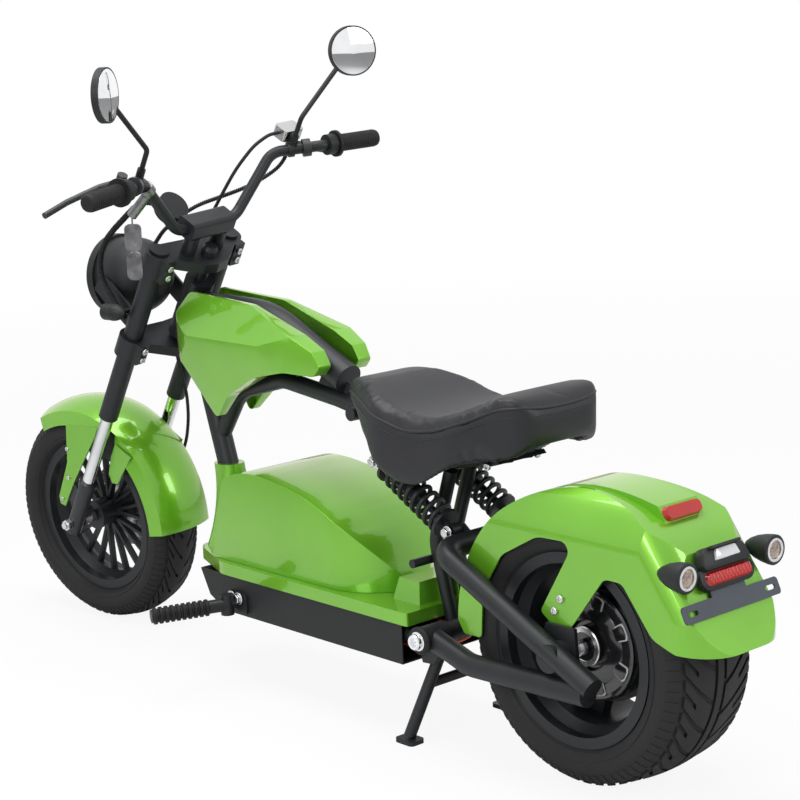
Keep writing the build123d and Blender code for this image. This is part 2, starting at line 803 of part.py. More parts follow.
with BuildPart() as deck_frame:
    for left in (rail_left, -rail_left):
        bar(chassis, (352, left, rail_height), (rail_front, left, rail_height), rail_radius)
    bar(chassis, (rail_front, rail_left, rail_height), (rail_front, -rail_left, rail_height), rail_radius)
    bar(chassis, (352, rail_left, rail_height), (352, -rail_left, rail_height), rail_radius)
    bar(chassis, (pivot_x, pivot_half, pivot_z), (pivot_x, -pivot_half, pivot_z), pivot_radius)
    for left in (post_left, -post_left):
        tube(chassis, [(352, left, rail_height), (392, left, 348), (post_top[0], left, post_top[1])],
             post_radius, 60)
    bar(chassis, (398, 78, 315), (398, -60, 315), 8)
    for side in (1, -1):
        with BuildSketch(side_plane(chassis, side * lug_inner)):
            Polygon((362, 208), (300, 228), (284, 206), (330, 148), (358, 146), (366, 178), align=None)
        extrude(amount=-side * lug_thickness)
        bar(chassis, (stand_pivot_x, side * (lug_inner + 4), stand_pivot_z),
            (stand_pivot_x, side * (stand_pivot_left - stand_barrel_half - 4), stand_pivot_z), stand_pin_radius)
    with BuildSketch(chassis.offset(foot_plate_low)):
        with Locations(((rail_front - 12 + foot_x_front + 24) / 2, 0)):
            Rectangle(foot_x_front + 24 - rail_front + 12, 64)
    extrude(amount=foot_plate_top - foot_plate_low)
    with BuildSketch(chassis.offset(rail_height)):
        with Locations((rail_front, 0)):
            Rectangle(24, 60)
    extrude(amount=foot_plate_low - rail_height + 1)
    bar(chassis, (pivot_x, 130, pivot_z), (pivot_x, -130, pivot_z), pivot_bolt_radius + seat_gap,
        mode=Mode.SUBTRACT)
finish(deck_frame, "deck_frame")

# ---------------------------------------------------------------- side panels

panel_inner = 34
panel_ridge_left = 88
panel_ridge_up = 664


def panel_form(side, inset, mode):
    """A bulged panel between spine and arch: side outline, ridge section and plan, all inset alike."""
    with BuildPart(mode=Mode.PRIVATE) as form:
        with BuildSketch(side_plane(chassis, side * panel_inner)) as outline:
            with BuildLine():
                FilletPolyline(
                    (1062, 748), (1098, 668), (1052, 606), (984, 500), (930, 556), (830, 604),
                    (738, 624), (664, 622), (646, 640), (664, 668), (715, 692), (861, 738),
                    close=True, radius=[14, 40, 60, 12, 60, 60, 60, 8, 8, 8, 60, 60],
                )
            make_face()
            if inset:
                offset(amount=-inset)
        extrude(outline.sketch, amount=-side * 70)
        with BuildSketch(cross_plane(chassis, 540)) as ridge:
            Polygon((side * (panel_inner - 5), 800), (side * (panel_inner + 2 - inset), 758),
                    (side * (panel_ridge_left - inset * 1.2), panel_ridge_up + 6),
                    (side * (panel_ridge_left - inset * 1.2), panel_ridge_up - 6),
                    (side * (panel_inner + 10 - inset), 480), (side * (panel_inner - 5), 480), align=None)
        extrude(ridge.sketch, amount=600, mode=Mode.INTERSECT)
        with BuildSketch(chassis.offset(470)) as plan:
            with BuildLine():
                Line((1110, side * (panel_inner - 5)), (1110, side * (panel_inner + 6 - inset)))
                ThreePointArc((1110, side * (panel_inner + 6 - inset)), (1060, side * (76 - inset)),
                              (980, side * (panel_ridge_left - inset)))
                Line((980, side * (panel_ridge_left - inset)), (800, side * (panel_ridge_left - inset)))
                Line((800, side * (panel_ridge_left - inset)), (560, side * (panel_inner + 16 - inset)))
                Line((560, side * (panel_inner + 16 - inset)), (560, side * (panel_inner - 5)))
                Line((560, side * (panel_inner - 5)), (1110, side * (panel_inner - 5)))
            make_face()
        extrude(plan.sketch, amount=320, mode=Mode.INTERSECT)
    add(form.part, mode=mode)


for name, side in (("left_side_panel", 1), ("right_side_panel", -1)):
    with BuildPart() as panel:
        panel_form(side, 0, Mode.ADD)
        panel_form(side, sheet, Mode.SUBTRACT)
    finish(panel, name)

# ---------------------------------------------------------------- deck

box_half = 122

with BuildPart() as battery_box:
    with BuildSketch(side_plane(chassis, box_half)) as outline:
        Polygon((deck_rear, deck_bottom), (896, deck_bottom), (944, 166), (970, deck_trim_bottom),
                (deck_rear, deck_trim_bottom), align=None)
    extrude(amount=2 * box_half)
    with BuildSketch(side_plane(chassis, box_half - sheet)):
        Polygon((deck_rear - 10, deck_bottom + sheet), (896, deck_bottom + sheet), (941, 168),
                (968, deck_trim_bottom + 1), (deck_rear - 10, deck_trim_bottom + 1), align=None)
    extrude(amount=2 * (box_half - sheet), mode=Mode.SUBTRACT)
finish(battery_box, "battery_box")

pack_bottom = deck_bottom + sheet + seat_gap
pack_top = 335
pack_x = 725
pack_length = 270
pack_width = 150

with BuildPart() as battery_pack:
    with BuildSketch(chassis.offset(pack_bottom)):
        with Locations((pack_x, 0)):
            Rectangle(pack_length, pack_width)
    extrude(amount=pack_top - pack_bottom)
finish(battery_pack, "battery_pack")

trim_top = 240


def cover_form(inset, mode):
    """The deck cover: a trim slab with a rounded nose that rises into the down tube's collar."""
    half = deck_half_width - inset
    with BuildPart(mode=Mode.PRIVATE) as form:
        with BuildSketch(chassis.offset(deck_trim_bottom - (1 if inset else 0))) as slab:
            with BuildLine():
                FilletPolyline((366 + inset, half), (900 - inset, half), (1040 - inset, 70 - inset),
                               (1040 - inset, inset - 70), (900 - inset, -half), (366 + inset, -half),
                               close=True, radius=[6, 60, 40, 40, 60, 6])
            make_face()
        extrude(slab.sketch, amount=trim_top - deck_trim_bottom - inset + (1 if inset else 0))
        with BuildSketch(chassis.offset(trim_top - inset - 0.01)) as low:
            with Locations((999, 0)):
                RectangleRounded(74 - 2 * inset, 136 - 2 * inset, 30)
        with BuildSketch(chassis.offset(320)) as middle:
            with Locations((1007, 0)):
                RectangleRounded(63 - 2 * inset, 76 - 2 * inset, 26)
        with BuildSketch(chassis.offset(400 - inset)) as high:
            with Locations((1019, 0)):
                RectangleRounded(58 - 2 * inset, 56 - 2 * inset, 24)
        loft([low.sketch, middle.sketch, high.sketch])
    add(form.part, mode=mode)


hump_front = 946
hump_rear = 462

with BuildPart() as deck_cover:
    cover_form(0, Mode.ADD)
    with BuildSketch(chassis.offset(trim_top)):
        with Locations((420, 0)):
            Rectangle(70, 150)
    extrude(amount=40, taper=12)
    with BuildSketch(chassis.offset(trim_top - sheet)):
        with Locations((420, 0)):
            Rectangle(70 - 2 * sheet, 150 - 2 * sheet)
    extrude(amount=40, taper=12, mode=Mode.SUBTRACT)
    cover_form(sheet, Mode.SUBTRACT)
    with BuildSketch(chassis.offset(trim_top - 10)):
        with Locations((pack_x, 0)):
            Rectangle(pack_length + 6, pack_width + 6)
    extrude(amount=20, mode=Mode.SUBTRACT)
    tube(chassis, down_tube_points, down_tube_radius + seat_gap, 200, mode=Mode.SUBTRACT)
    for left in (post_left, -post_left):
        bar(chassis, (352, left, 194), (392, left, 348), post_radius + seat_gap, mode=Mode.SUBTRACT)
finish(deck_cover, "deck_cover")

# ---------------------------------------------------------------- battery cover

hump_half = 110
hump_base = trim_top + moving_gap


def hump_form(inset, mode):
    """The lid over the battery: a humped side outline within a plan with a round tail."""
    half = hump_half - inset
    base = hump_base - (1 if inset else 0)
    with BuildPart(mode=Mode.PRIVATE) as form:
        with BuildSketch(side_plane(chassis, half)) as outline:
            with BuildLine():
                Line((hump_rear + inset, base), (hump_front - inset, base))
                Line((hump_front - inset, base), (904 - inset, 398 - inset))
                Spline((904 - inset, 398 - inset), (860, 418 - inset), (760, 422 - inset), (640, 398 - inset),
                       (530, 338 - inset * 1.3), (hump_rear + inset, base))
            make_face()
        extrude(outline.sketch, amount=2 * half)
        with BuildSketch(chassis.offset(base - 1)) as plan:
            with BuildLine():
                Line((hump_front, half), (620, half))
                ThreePointArc((620, half), (500, 0.62 * half), (hump_rear + inset, 0))
                ThreePointArc((hump_rear + inset, 0), (500, -0.62 * half), (620, -half))
                Line((620, -half), (hump_front, -half))
                Line((hump_front, -half), (hump_front, half))
            make_face()
        extrude(plan.sketch, amount=240, mode=Mode.INTERSECT)
    add(form.part, mode=mode)


with BuildPart() as battery_cover:
    hump_form(0, Mode.ADD)
    hump_form(sheet, Mode.SUBTRACT)
finish(battery_cover, "battery_cover")

# ---------------------------------------------------------------- swingarm

shock_left = 70
shock_top = (474, 493)
shock_bottom = (296, 392)
shock_rod = 7
shock_body = 16
shock_eye_half = 11
shock_eye_radius = 13
shock_bolt_radius = 6
spring_radius = 24
spring_wire = 4.2
spring_turns = 8

arm_radius = 20
arm_left = 136
tip_x = -85
tip_z = 205
cross_x = 262
cross_z = 376
bridge_half = 62
rear_axle_radius = 8
elbow_bend = 36
dropout_inner = 110.5
axle_end = 146
axle_boss_half = 152
pivot_boss_half = 150
# The right plate is taller, because it carries the caliper.
dropout_plate = {
    1: ((46, 252), (34, 290), (-30, 290), (-34, 236), (10, 218)),
    -1: ((84, 262), (80, 306), (50, 322), (-4, 352), (-46, 318), (-34, 236), (10, 214)),
}

for name, left in (("left_swingarm", 1), ("right_swingarm", -1)):
    with BuildPart() as arm:
        tube(chassis, [(tip_x, left * arm_left, tip_z), (cross_x, left * arm_left, cross_z),
                       (cross_x, left * bridge_half, cross_z)], arm_radius, elbow_bend)
        tube(chassis, [(tip_x + 10, left * arm_left, tip_z - 12), (196, left * arm_left, 186),
                       (pivot_x, left * (arm_left - 8), pivot_z)], arm_radius, 90)
        bar(chassis, (pivot_x, left * pivot_boss_half, pivot_z),
            (pivot_x, left * (pivot_half + moving_gap), pivot_z), arm_radius + 3)
        bar(chassis, (0, left * axle_boss_half, rear_axle_height),
            (0, left * dropout_inner, rear_axle_height), arm_radius + 4)
        with BuildSketch(side_plane(chassis, left * dropout_inner)):
            Polygon(*dropout_plate[left], align=None)
        extrude(amount=-left * 7)
        bar(chassis, (0, axle_end + seat_gap, rear_axle_height), (0, -axle_end - seat_gap, rear_axle_height),
            rear_axle_radius + seat_gap, mode=Mode.SUBTRACT)
        bar(chassis, (pivot_x, 170, pivot_z), (pivot_x, -170, pivot_z), pivot_bolt_radius + seat_gap,
            mode=Mode.SUBTRACT)
    finish(arm, name)

with BuildPart() as swingarm_bridge:
    bar(chassis, (cross_x, bridge_half, cross_z), (cross_x, -bridge_half, cross_z), arm_radius)
    for side in (1, -1):
        with BuildSketch(side_plane(chassis, side * (shock_left - shock_eye_half - 1))):
            Polygon((cross_x - 14, cross_z), (shock_bottom[0] - 12, shock_bottom[1] + 12),
                    (shock_bottom[0] + 12, shock_bottom[1] + 8), (cross_x + 18, cross_z), align=None)
        extrude(amount=side * 5)
        bar(chassis, (shock_bottom[0], side * (shock_left - shock_eye_half - 3), shock_bottom[1]),
            (shock_bottom[0], side * (shock_left + shock_eye_half + 4), shock_bottom[1]), shock_bolt_radius)
finish(swingarm_bridge, "swingarm_bridge")

with BuildPart() as pivot_bolt:
    bar(chassis, (pivot_x, pivot_boss_half + 2, pivot_z), (pivot_x, -pivot_boss_half - 2, pivot_z),
        pivot_bolt_radius)
    for left in (1, -1):
        with BuildSketch(side_plane(chassis, left * (pivot_boss_half + seat_gap))):
            with Locations((pivot_x, pivot_z)):
                RegularPolygon(13, 6)
        extrude(amount=-left * 10)
finish(pivot_bolt, "pivot_bolt")

with BuildPart() as rear_axle:
    bar(chassis, (0, axle_end, rear_axle_height), (0, -axle_end, rear_axle_height), rear_axle_radius)
    for left in (1, -1):
        bar(chassis, (0, left * (motor_boss_half + disc_thickness + 1), rear_axle_height),
            (0, left * (dropout_inner - seat_gap), rear_axle_height), 13)
finish(rear_axle, "rear_axle")

# Rear caliper, on the right side plate.
rear_caliper_x = 46
rear_caliper_z = rear_axle_height + 66
rear_caliper_inner = motor_half + 5

with BuildPart() as rear_caliper:
    with BuildSketch(side_plane(chassis, -rear_caliper_inner)):
        with Locations((rear_caliper_x, rear_caliper_z)):
            RectangleRounded(54, 56, 14)
    extrude(amount=30)
    with BuildSketch(rear_hub.offset(-motor_boss_half - disc_thickness - caliper_gap)):
        Circle(rear_disc_radius + caliper_gap)
    extrude(amount=disc_thickness + 2 * caliper_gap, mode=Mode.SUBTRACT)
    bar(chassis, (rear_caliper_x + 18, -rear_caliper_inner - 28, rear_caliper_z - 14),
        (rear_caliper_x + 18, -dropout_inner + seat_gap, rear_caliper_z - 14), 8)
finish(rear_caliper, "rear_caliper")

# ---------------------------------------------------------------- shocks and seat frame

seat_rail_radius = 11
seat_cross_radius = 13
seat_cross = (arch_end[0] - seat_cross_radius - 0.6, arch_end[2] - 1.5)

with BuildPart() as seat_frame:
    for left in (post_left, -post_left):
        tube(chassis, [(seat_cross[0], left, seat_cross[1]), (474, left, 522), (346, left, 496),
                       (196, left, 530)], seat_rail_radius, 60)
        with BuildSketch(cross_plane(chassis, shock_top[0], shock_top[1])):
            with Locations((left, 14)):
                Rectangle(14, 28)
        extrude(amount=10, both=True)
    bar(chassis, (shock_top[0], shock_left + shock_eye_half + 12, shock_top[1]),
        (shock_top[0], -shock_left - shock_eye_half - 12, shock_top[1]), shock_bolt_radius)
    bar(chassis, (seat_cross[0], 46, seat_cross[1]), (seat_cross[0], -46, seat_cross[1]), seat_cross_radius)
    with BuildSketch(side_plane(chassis, 58)):
        Polygon((236, 520), (196, 529), (190, 522), (236, 508), align=None)
    extrude(amount=116)
    for left in (post_left, -post_left):
        bar(chassis, (392, left, 348), (post_top[0], left, post_top[1]), post_radius + seat_gap,
            mode=Mode.SUBTRACT)
finish(seat_frame, "seat_frame")


def shock_line(left):
    """The upper eye, the unit vector down the damper and its length."""
    top = chassis.from_local_coords((shock_top[0], left, shock_top[1]))
    bottom = chassis.from_local_coords((shock_bottom[0], left, shock_bottom[1]))
    return top, (bottom - top).normalized(), (bottom - top).length


with BuildPart() as shocks:
    for left in (shock_left, -shock_left):
        top, along, length = shock_line(left)
        with BuildSketch(Plane(origin=top + along * 6, z_dir=along)):
            Circle(shock_body)
        extrude(amount=length * 0.5)
        with BuildSketch(Plane(origin=top + along * 6, z_dir=along)):
            Circle(shock_rod)
        extrude(amount=length - 12)
        for near in (20, length - 26):
            with BuildSketch(Plane(origin=top + along * near, z_dir=along)):
                Circle(spring_radius + spring_wire)
            extrude(amount=6)
        for place in (shock_top, shock_bottom):
            bar(chassis, (place[0], left - shock_eye_half, place[1]),
                (place[0], left + shock_eye_half, place[1]), shock_eye_radius)
        for place in (shock_top, shock_bottom):
            bar(chassis, (place[0], left - 40, place[1]), (place[0], left + 40, place[1]),
                shock_bolt_radius + seat_gap, mode=Mode.SUBTRACT)
finish(shocks, "shocks")

with BuildPart() as springs:
    for left in (shock_left, -shock_left):
        top, along, length = shock_line(left)
        coil_length = length - 52 - 2 * spring_wire - 1
        with BuildLine() as coil:
            Helix(pitch=coil_length / spring_turns, height=coil_length, radius=spring_radius,
                  center=top + along * (26 + spring_wire + 0.5), direction=along)
        with BuildSketch(Plane(origin=coil.line @ 0, z_dir=coil.line % 0)) as wire:
            Circle(spring_wire)
        sweep(wire.sketch, path=coil.line, is_frenet=True)
finish(springs, "springs")

# ---------------------------------------------------------------- seat


seat_wall = 14
seat_foam = 54
seat_nose = 588
seat_tail = 86
seat_half = 132
bumper_x = 410


def seat_form(inset, mode):
    """The saddle: side outline within its plan. The hollow form lies under the foam."""
    with BuildPart(mode=Mode.PRIVATE) as form:
        with BuildSketch(side_plane(chassis, seat_half - inset)) as outline:
            with BuildLine():
                drop = seat_foam if inset else 0
                nose = seat_nose - inset
                tail = seat_tail + inset
                Spline((nose, 590 - inset), (562, 630 - drop), (490, 632 - drop), (410, 606 - drop),
                       (330, 592 - drop), (240, 608 - drop), (176, 634 - drop), (122, 652 - drop),
                       (tail, 620 - drop))
                if inset:
                    Polyline((tail, 620 - drop), (tail, 400), (nose, 400), (nose, 590 - inset))
                else:
                    Spline((tail, 620), (88, 578), (112, 550), (190, 532), (270, 498), (344, 474), (420, 492),
                           (500, 546), (nose, 590))
            make_face()
        extrude(outline.sketch, amount=2 * (seat_half - inset))
        with BuildSketch(chassis.offset(390)) as plan:
            with BuildLine():
                wide = seat_half - inset
                FilletPolyline((nose + 4, 46 - inset), (nose - 48, 76 - inset), (430, wide - 1), (230, wide),
                               (tail - 1, 98 - inset), (tail - 1, inset - 98), (230, -wide), (430, 1 - wide),
                               (nose - 48, inset - 76), (nose + 4, inset - 46), close=True,
                               radius=[18, 40, 80, 80, 56, 56, 80, 80, 40, 18])
            make_face()
        extrude(plan.sketch, amount=320, mode=Mode.INTERSECT)
    add(form.part, mode=mode)


with BuildPart() as seat:
    seat_form(0, Mode.ADD)
    seat_form(seat_wall, Mode.SUBTRACT)
    for left in (post_left, -post_left):
        bar(chassis, (bumper_x, left, 522.4), (bumper_x, left, 570), 9)
finish(seat, "seat")

# ---------------------------------------------------------------- rear fender

rear_fender_half = 110
rear_fender_wall = 3
tail_corner = 78
shoulder_radius = 54
shoulder_trim = 0.1
tail_slope = radians(55.2)
lamp_angle = 147.1
crown_profile = [(2, 250), (25, 252), (50, 259), (70, 265), (90, 270), (108, 277), (118, 283), (125.9, 287),
                 (132.2, 292), (138.6, 293.3), (lamp_angle, 283.5), (156.2, 279.8), (162.8, 285), (172, 303)]


def crown_point(angle, radius):
    turn = radians(angle)
    return (radius * cos(turn), rear_axle_height + radius * sin(turn))


crown_places = dict(crown_profile)
lamp_index = [angle for angle, radius in crown_profile].index(lamp_angle)
tail_x = crown_point(*crown_profile[-1])[0]
shoulder_place = crown_point(138.6, crown_places[138.6])
ridge_half = 47
ridge_face = 16
ridge_middle = (-160, 487)
ridge_lean = radians(31)


def fender_form(inset, mode):
    """The rear fender's block: crown curve above, skirt outline below when it is the outer form."""
    with BuildPart(mode=Mode.PRIVATE) as form:
        half = rear_fender_half - inset
        with BuildSketch(side_plane(chassis, half)) as outline:
            with BuildLine():
                crown = [crown_point(angle, radius - inset) for angle, radius in crown_profile]
                # the lamp's seat, from one point before the lamp's middle to one after it, is flat
                Spline(*crown[:lamp_index])
                Line(crown[lamp_index - 1], crown[lamp_index + 1])
                Spline(*crown[lamp_index + 1:])
                if inset:
                    Polyline(crown[-1], (crown[-1][0], 120), (crown[0][0], 120), crown[0])
                else:
                    FilletPolyline(crown[-1], (-236, 288), (-190, 304), (-128, 384), (-90, 384), (0, 268),
                                   (52, 304), (-26, 432), (56, 430), (140, 384), (188, 310), (194, 228),
                                   (236, 228), crown[0], radius=[20, 40, 20, 20, 4, 8, 16, 60, 40, 40, 8, 8])
            make_face()
        extrude(outline.sketch, amount=2 * half)
        with BuildSketch(cross_plane(chassis, -400)) as section:
            with BuildLine():
                Line((half, 60), (half, 418 - inset))
                ThreePointArc((half, 418 - inset), (half * 0.74, 497 - inset), (0, 528 - inset))
                ThreePointArc((0, 528 - inset), (-half * 0.74, 497 - inset), (-half, 418 - inset))
                Line((-half, 418 - inset), (-half, 60))
                Line((-half, 60), (half, 60))
            make_face()
        extrude(section.sketch, amount=800, mode=Mode.INTERSECT)
        with BuildSketch(chassis.offset(40)) as plan:
            tail = tail_x + inset
            with BuildLine():
                FilletPolyline((320, half), (tail, half), (tail, -half), (320, -half), close=True,
                               radius=[10, tail_corner - inset, tail_corner - inset, 10])
            make_face()
        extrude(plan.sketch, amount=600, mode=Mode.INTERSECT)
        # rounded shoulders along the sloping tail
        tail_plane = Plane(
            origin=chassis.from_local_coords((shoulder_place[0], 0, shoulder_place[1])),
            x_dir=(0, 1, 0),
            z_dir=(-cos(tail_slope), 0, -sin(tail_slope)),
        ).offset(-500)
        with BuildSketch(tail_plane) as shoulders:
            with Locations((0, 300 + inset)):
                RectangleRounded(2 * half - shoulder_trim, 600, shoulder_radius - inset)
        extrude(shoulders.sketch, amount=1000, mode=Mode.INTERSECT)
    add(form.part, mode=mode)


with BuildPart() as rear_fender:
    fender_form(0, Mode.ADD)
    rise = ridge_face * cos(ridge_lean)
    run = ridge_face * sin(ridge_lean)
    ridge_top = (ridge_middle[0] + run, ridge_middle[1] + rise)
    ridge_foot = (ridge_middle[0] - run, ridge_middle[1] - rise)
    with BuildSketch(side_plane(chassis, ridge_half)):
        with BuildLine():
            Spline((120, 474), (40, 508), (-50, 516), ridge_top)
            Polyline(ridge_top, ridge_foot, (-60, 474), (60, 466), (120, 474))
        make_face()
    extrude(amount=2 * ridge_half)
    fender_form(rear_fender_wall, Mode.SUBTRACT)
finish(rear_fender, "rear_fender")

# ---------------------------------------------------------------- tail

ridge_end = Plane(
    origin=chassis.from_local_coords((ridge_middle[0], 0, ridge_middle[1])),
    x_dir=(0, 1, 0),
    z_dir=(-cos(ridge_lean), 0, sin(ridge_lean)),
)

with BuildPart() as tail_lens:
    with BuildSketch(ridge_end.offset(0.1)):
        RectangleRounded(88, 26, 11)
    extrude(amount=8, taper=20)
finish(tail_lens, "tail_lens")

lamp_tilt = 24.1
lamp_seat = crown_point(lamp_angle, crown_places[lamp_angle])
lamp_depth = 13
plate_thickness_rear = 3
lamp_back = Plane(
    origin=chassis.from_local_coords((lamp_seat[0], 0, lamp_seat[1])),
    x_dir=(0, 1, 0),
    z_dir=(-cos(radians(lamp_tilt)), 0, sin(radians(lamp_tilt))),
).offset(0.6)

with BuildPart() as rear_lamp:
    with BuildSketch(lamp_back):
        SlotOverall(124, 34)
    extrude(amount=lamp_depth)
    with BuildSketch(lamp_back):
        with Locations((0, -24)):
            RectangleRounded(84, 26, 8)
    extrude(amount=lamp_depth + 4)
finish(rear_lamp, "rear_lamp")

with BuildPart() as rear_lamp_lens:
    with BuildSketch(lamp_back.offset(lamp_depth)):
        with Locations((0, 3)):
            SlotOverall(112, 24)
    extrude(amount=8, taper=30)
finish(rear_lamp_lens, "rear_lamp_lens")

with BuildPart() as plate_bracket:
    with BuildSketch(lamp_back.offset(2)):
        with Locations((0, 25)):
            Rectangle(84, 15)
        with Locations((0, 45)):
            RectangleRounded(236, 29, 7)
        for left in (95, -95):
            with Locations((left, 45)):
                SlotOverall(24, 8, mode=Mode.SUBTRACT)
    extrude(amount=plate_thickness_rear)
finish(plate_bracket, "plate_bracket")

rear_indicator_left = 97
rear_indicator_z = 415
rear_indicator_radius = 18
rear_indicator_face = -257
rear_stalk_radius = 5
# The stalks end on the fender's rounded shoulder, at the stalk's edge that meets it first.
stalk_edge = rear_stalk_radius * cos(radians(45))
shoulder_out = rear_indicator_left - stalk_edge - rear_fender_half + shoulder_radius
shoulder_drop = shoulder_radius - (shoulder_radius ** 2 - shoulder_out ** 2) ** 0.5
shoulder_rise = rear_indicator_z - stalk_edge - shoulder_place[1]
shoulder_x = shoulder_place[0] + (shoulder_drop + shoulder_rise * cos(tail_slope)) / sin(tail_slope)
rear_indicator_seat = shoulder_x - seat_gap

with BuildPart() as rear_indicators:
    for left in (rear_indicator_left, -rear_indicator_left):
        centre = chassis.from_local_coords((rear_indicator_face, left, rear_indicator_z))
        with BuildSketch(Plane(origin=centre, x_dir=(0, 0, 1), z_dir=(0, 1, 0))) as profile:
            with BuildLine():
                Line((0, 0), (0, 28))
                ThreePointArc((0, 28), (rear_indicator_radius * 0.75, 19), (rear_indicator_radius, 6))
                Polyline((rear_indicator_radius, 6), (rear_indicator_radius, 0), (0, 0))
            make_face()
        revolve(profile.sketch, axis=Axis(centre, (1, 0, 0)))
        bar(chassis, (rear_indicator_face + 20, left, rear_indicator_z),
            (rear_indicator_seat, left, rear_indicator_z), rear_stalk_radius)
finish(rear_indicators, "rear_indicators")

# ---------------------------------------------------------------- foot pegs

peg_x = 856
peg_z = 168
peg_sweep = 24
peg_length = 150

with BuildPart() as foot_pegs:
    for left in (1, -1):
        start = Vector(peg_x, left * (box_half + 26), peg_z)
        out = Vector(sin(radians(peg_sweep)), left * cos(radians(peg_sweep)), -0.03)
        end = start + out * peg_length
        bar(chassis, tuple(start), tuple(end), 13)
        bar(chassis, (peg_x, left * (box_half + 26), peg_z - 20),
            (peg_x, left * (box_half + 26), peg_z + 20), 13)
        with BuildSketch(side_plane(chassis, left * box_half)):
            with Locations((peg_x - 4, peg_z)):
                RectangleRounded(60, 40, 8)
        extrude(amount=-left * 6)
        bar(chassis, (peg_x, left * (box_half + 5), peg_z), (peg_x, left * (box_half + 26), peg_z), 12)
finish(foot_pegs, "foot_pegs")

# ---------------------------------------------------------------- centre stand

foot_x = 374
foot_left = 122
stand_radius = 11
pad_height = 8

with BuildPart() as stand:
    for left in (1, -1):
        bar(chassis, (stand_pivot_x, left * (stand_pivot_left + stand_barrel_half), stand_pivot_z),
            (stand_pivot_x, left * (stand_pivot_left - stand_barrel_half), stand_pivot_z), 14)
        bar(chassis, (stand_pivot_x, left * (stand_pivot_left - 6), stand_pivot_z),
            (foot_x, left * foot_left, 11), stand_radius)
        with BuildSketch(chassis):
            with Locations((foot_x, left * foot_left)):
                RectangleRounded(46, 34, 8)
        extrude(amount=pad_height)
    bar(chassis, (stand_pivot_x + 11, 84, 104), (stand_pivot_x + 11, -84, 104), 9)
    bar(chassis, (stand_pivot_x, 120, stand_pivot_z), (stand_pivot_x, -120, stand_pivot_z),
        stand_pin_radius + moving_gap, mode=Mode.SUBTRACT)
    with BuildSketch(chassis):
        Rectangle(2000, 800)
    extrude(amount=-40, mode=Mode.SUBTRACT)
finish(stand, "stand")

# ---------------------------------------------------------------- cables


def cable(base, points, radius, name):
    """A cable as straight runs joined by tangent arcs, each as large as its two runs allow."""
    places = [base.from_local_coords(point) for point in points]
    radii = []
    for before, corner, after in zip(places, places[1:], places[2:]):
        arriving, leaving = corner - before, after - corner
        half_turn = radians(arriving.get_angle(leaving)) / 2
        radii.append(0.45 * min(arriving.length, leaving.length) / tan(half_turn))
    with BuildLine() as route:
        FilletPolyline(*places, radius=radii)
    with BuildSketch(Plane(origin=route.line @ 0, z_dir=route.line % 0)) as section:
        Circle(radius)
    sweep(section.sketch, path=route.line)
    length = sum(edge.length for edge in route.edges())
    print(f"{name}: length {length:.0f} mm, radii {[round(value) for value in radii]},"
          f" section x length {pi * radius**2 * length:.0f} mm3")


wrap_radius = 5.5
sleeve_front = fork_offset + sleeve_radius + seat_gap
left_wrap = [(59.4, 134.6, 818), (84, 135.9, 808.6), (100, 140, 780), (120, 136, 740), (144, 126, 700),
             (170, 113, 648), (174, 106, 596), (156, 100, 558), (122, 95, 537), (93, 94, 521),
             (sleeve_front, 94, 521)]
throttle_radius = 4
bucket_back = (142.5, 0, 621.9)
throttle_route = [(68, -232, 871.7), (68, -232, 838), (74, -206, 808), (82, -160, 782), (92, -100, 764),
                  (102, -44, 748), (114, -10, 712), (128, 0, 678), (135.3, 0, 650.7), bucket_back]

with BuildPart() as control_cables:
    cable(steering, left_wrap, wrap_radius, "left wrap")
    cable(steering, throttle_route, throttle_radius, "throttle cable")
finish(control_cables, "control_cables")

hose_radius = 3.5
caliper_top = caliper_height + 33 + seat_gap
hose_route = [(78, -192.8, 908), (78, -168, 908), (82, -138, 886), (82, -106, 838), (80, -84, 778),
              (80, -68, 714), (77, -58, 624), (75, -60, 534), (70, -58, 462), (48, -62, 406),
              (26, -73, 364), (8, -88, 318), (-10, -96, 264), (-26, -93, 214), (-31, -84, 172),
              (-30, -74, 146), (-25, -62, 120), (-25, -62, caliper_top)]

with BuildPart() as brake_hose:
    cable(steering, hose_route, hose_radius, "brake hose")
finish(brake_hose, "brake_hose")

motor_cable_radius = 4.5
pack_back = pack_x - pack_length / 2 - seat_gap
motor_route = [(pack_back, 56, 166), (530, 56, 166), (455, 70, 167), (402, 88, 166), (373, 58, 163),
               (364, 14, 161), (372, -34, 161), (400, -66, 163), (455, -60, 165), (530, -46, 166),
               (pack_back, -46, 166)]

with BuildPart() as motor_cable:
    cable(chassis, motor_route, motor_cable_radius, "motor cable")
finish(motor_cable, "motor_cable")

# ---------------------------------------------------------------- keys

lock_top = Vector(56, 158, 852)
lock_end = Vector(70, 172, 790)
lock_radius = 10
lock_ring_radius = 15
lock_ring_half = 8
chain_radius = 1.6
tag_drop = 16
tag_width = 32
tag_height = 52
tag_thickness = 8
fob_drop = 70
fob_width = 30
fob_height = 54
fob_thickness = 11

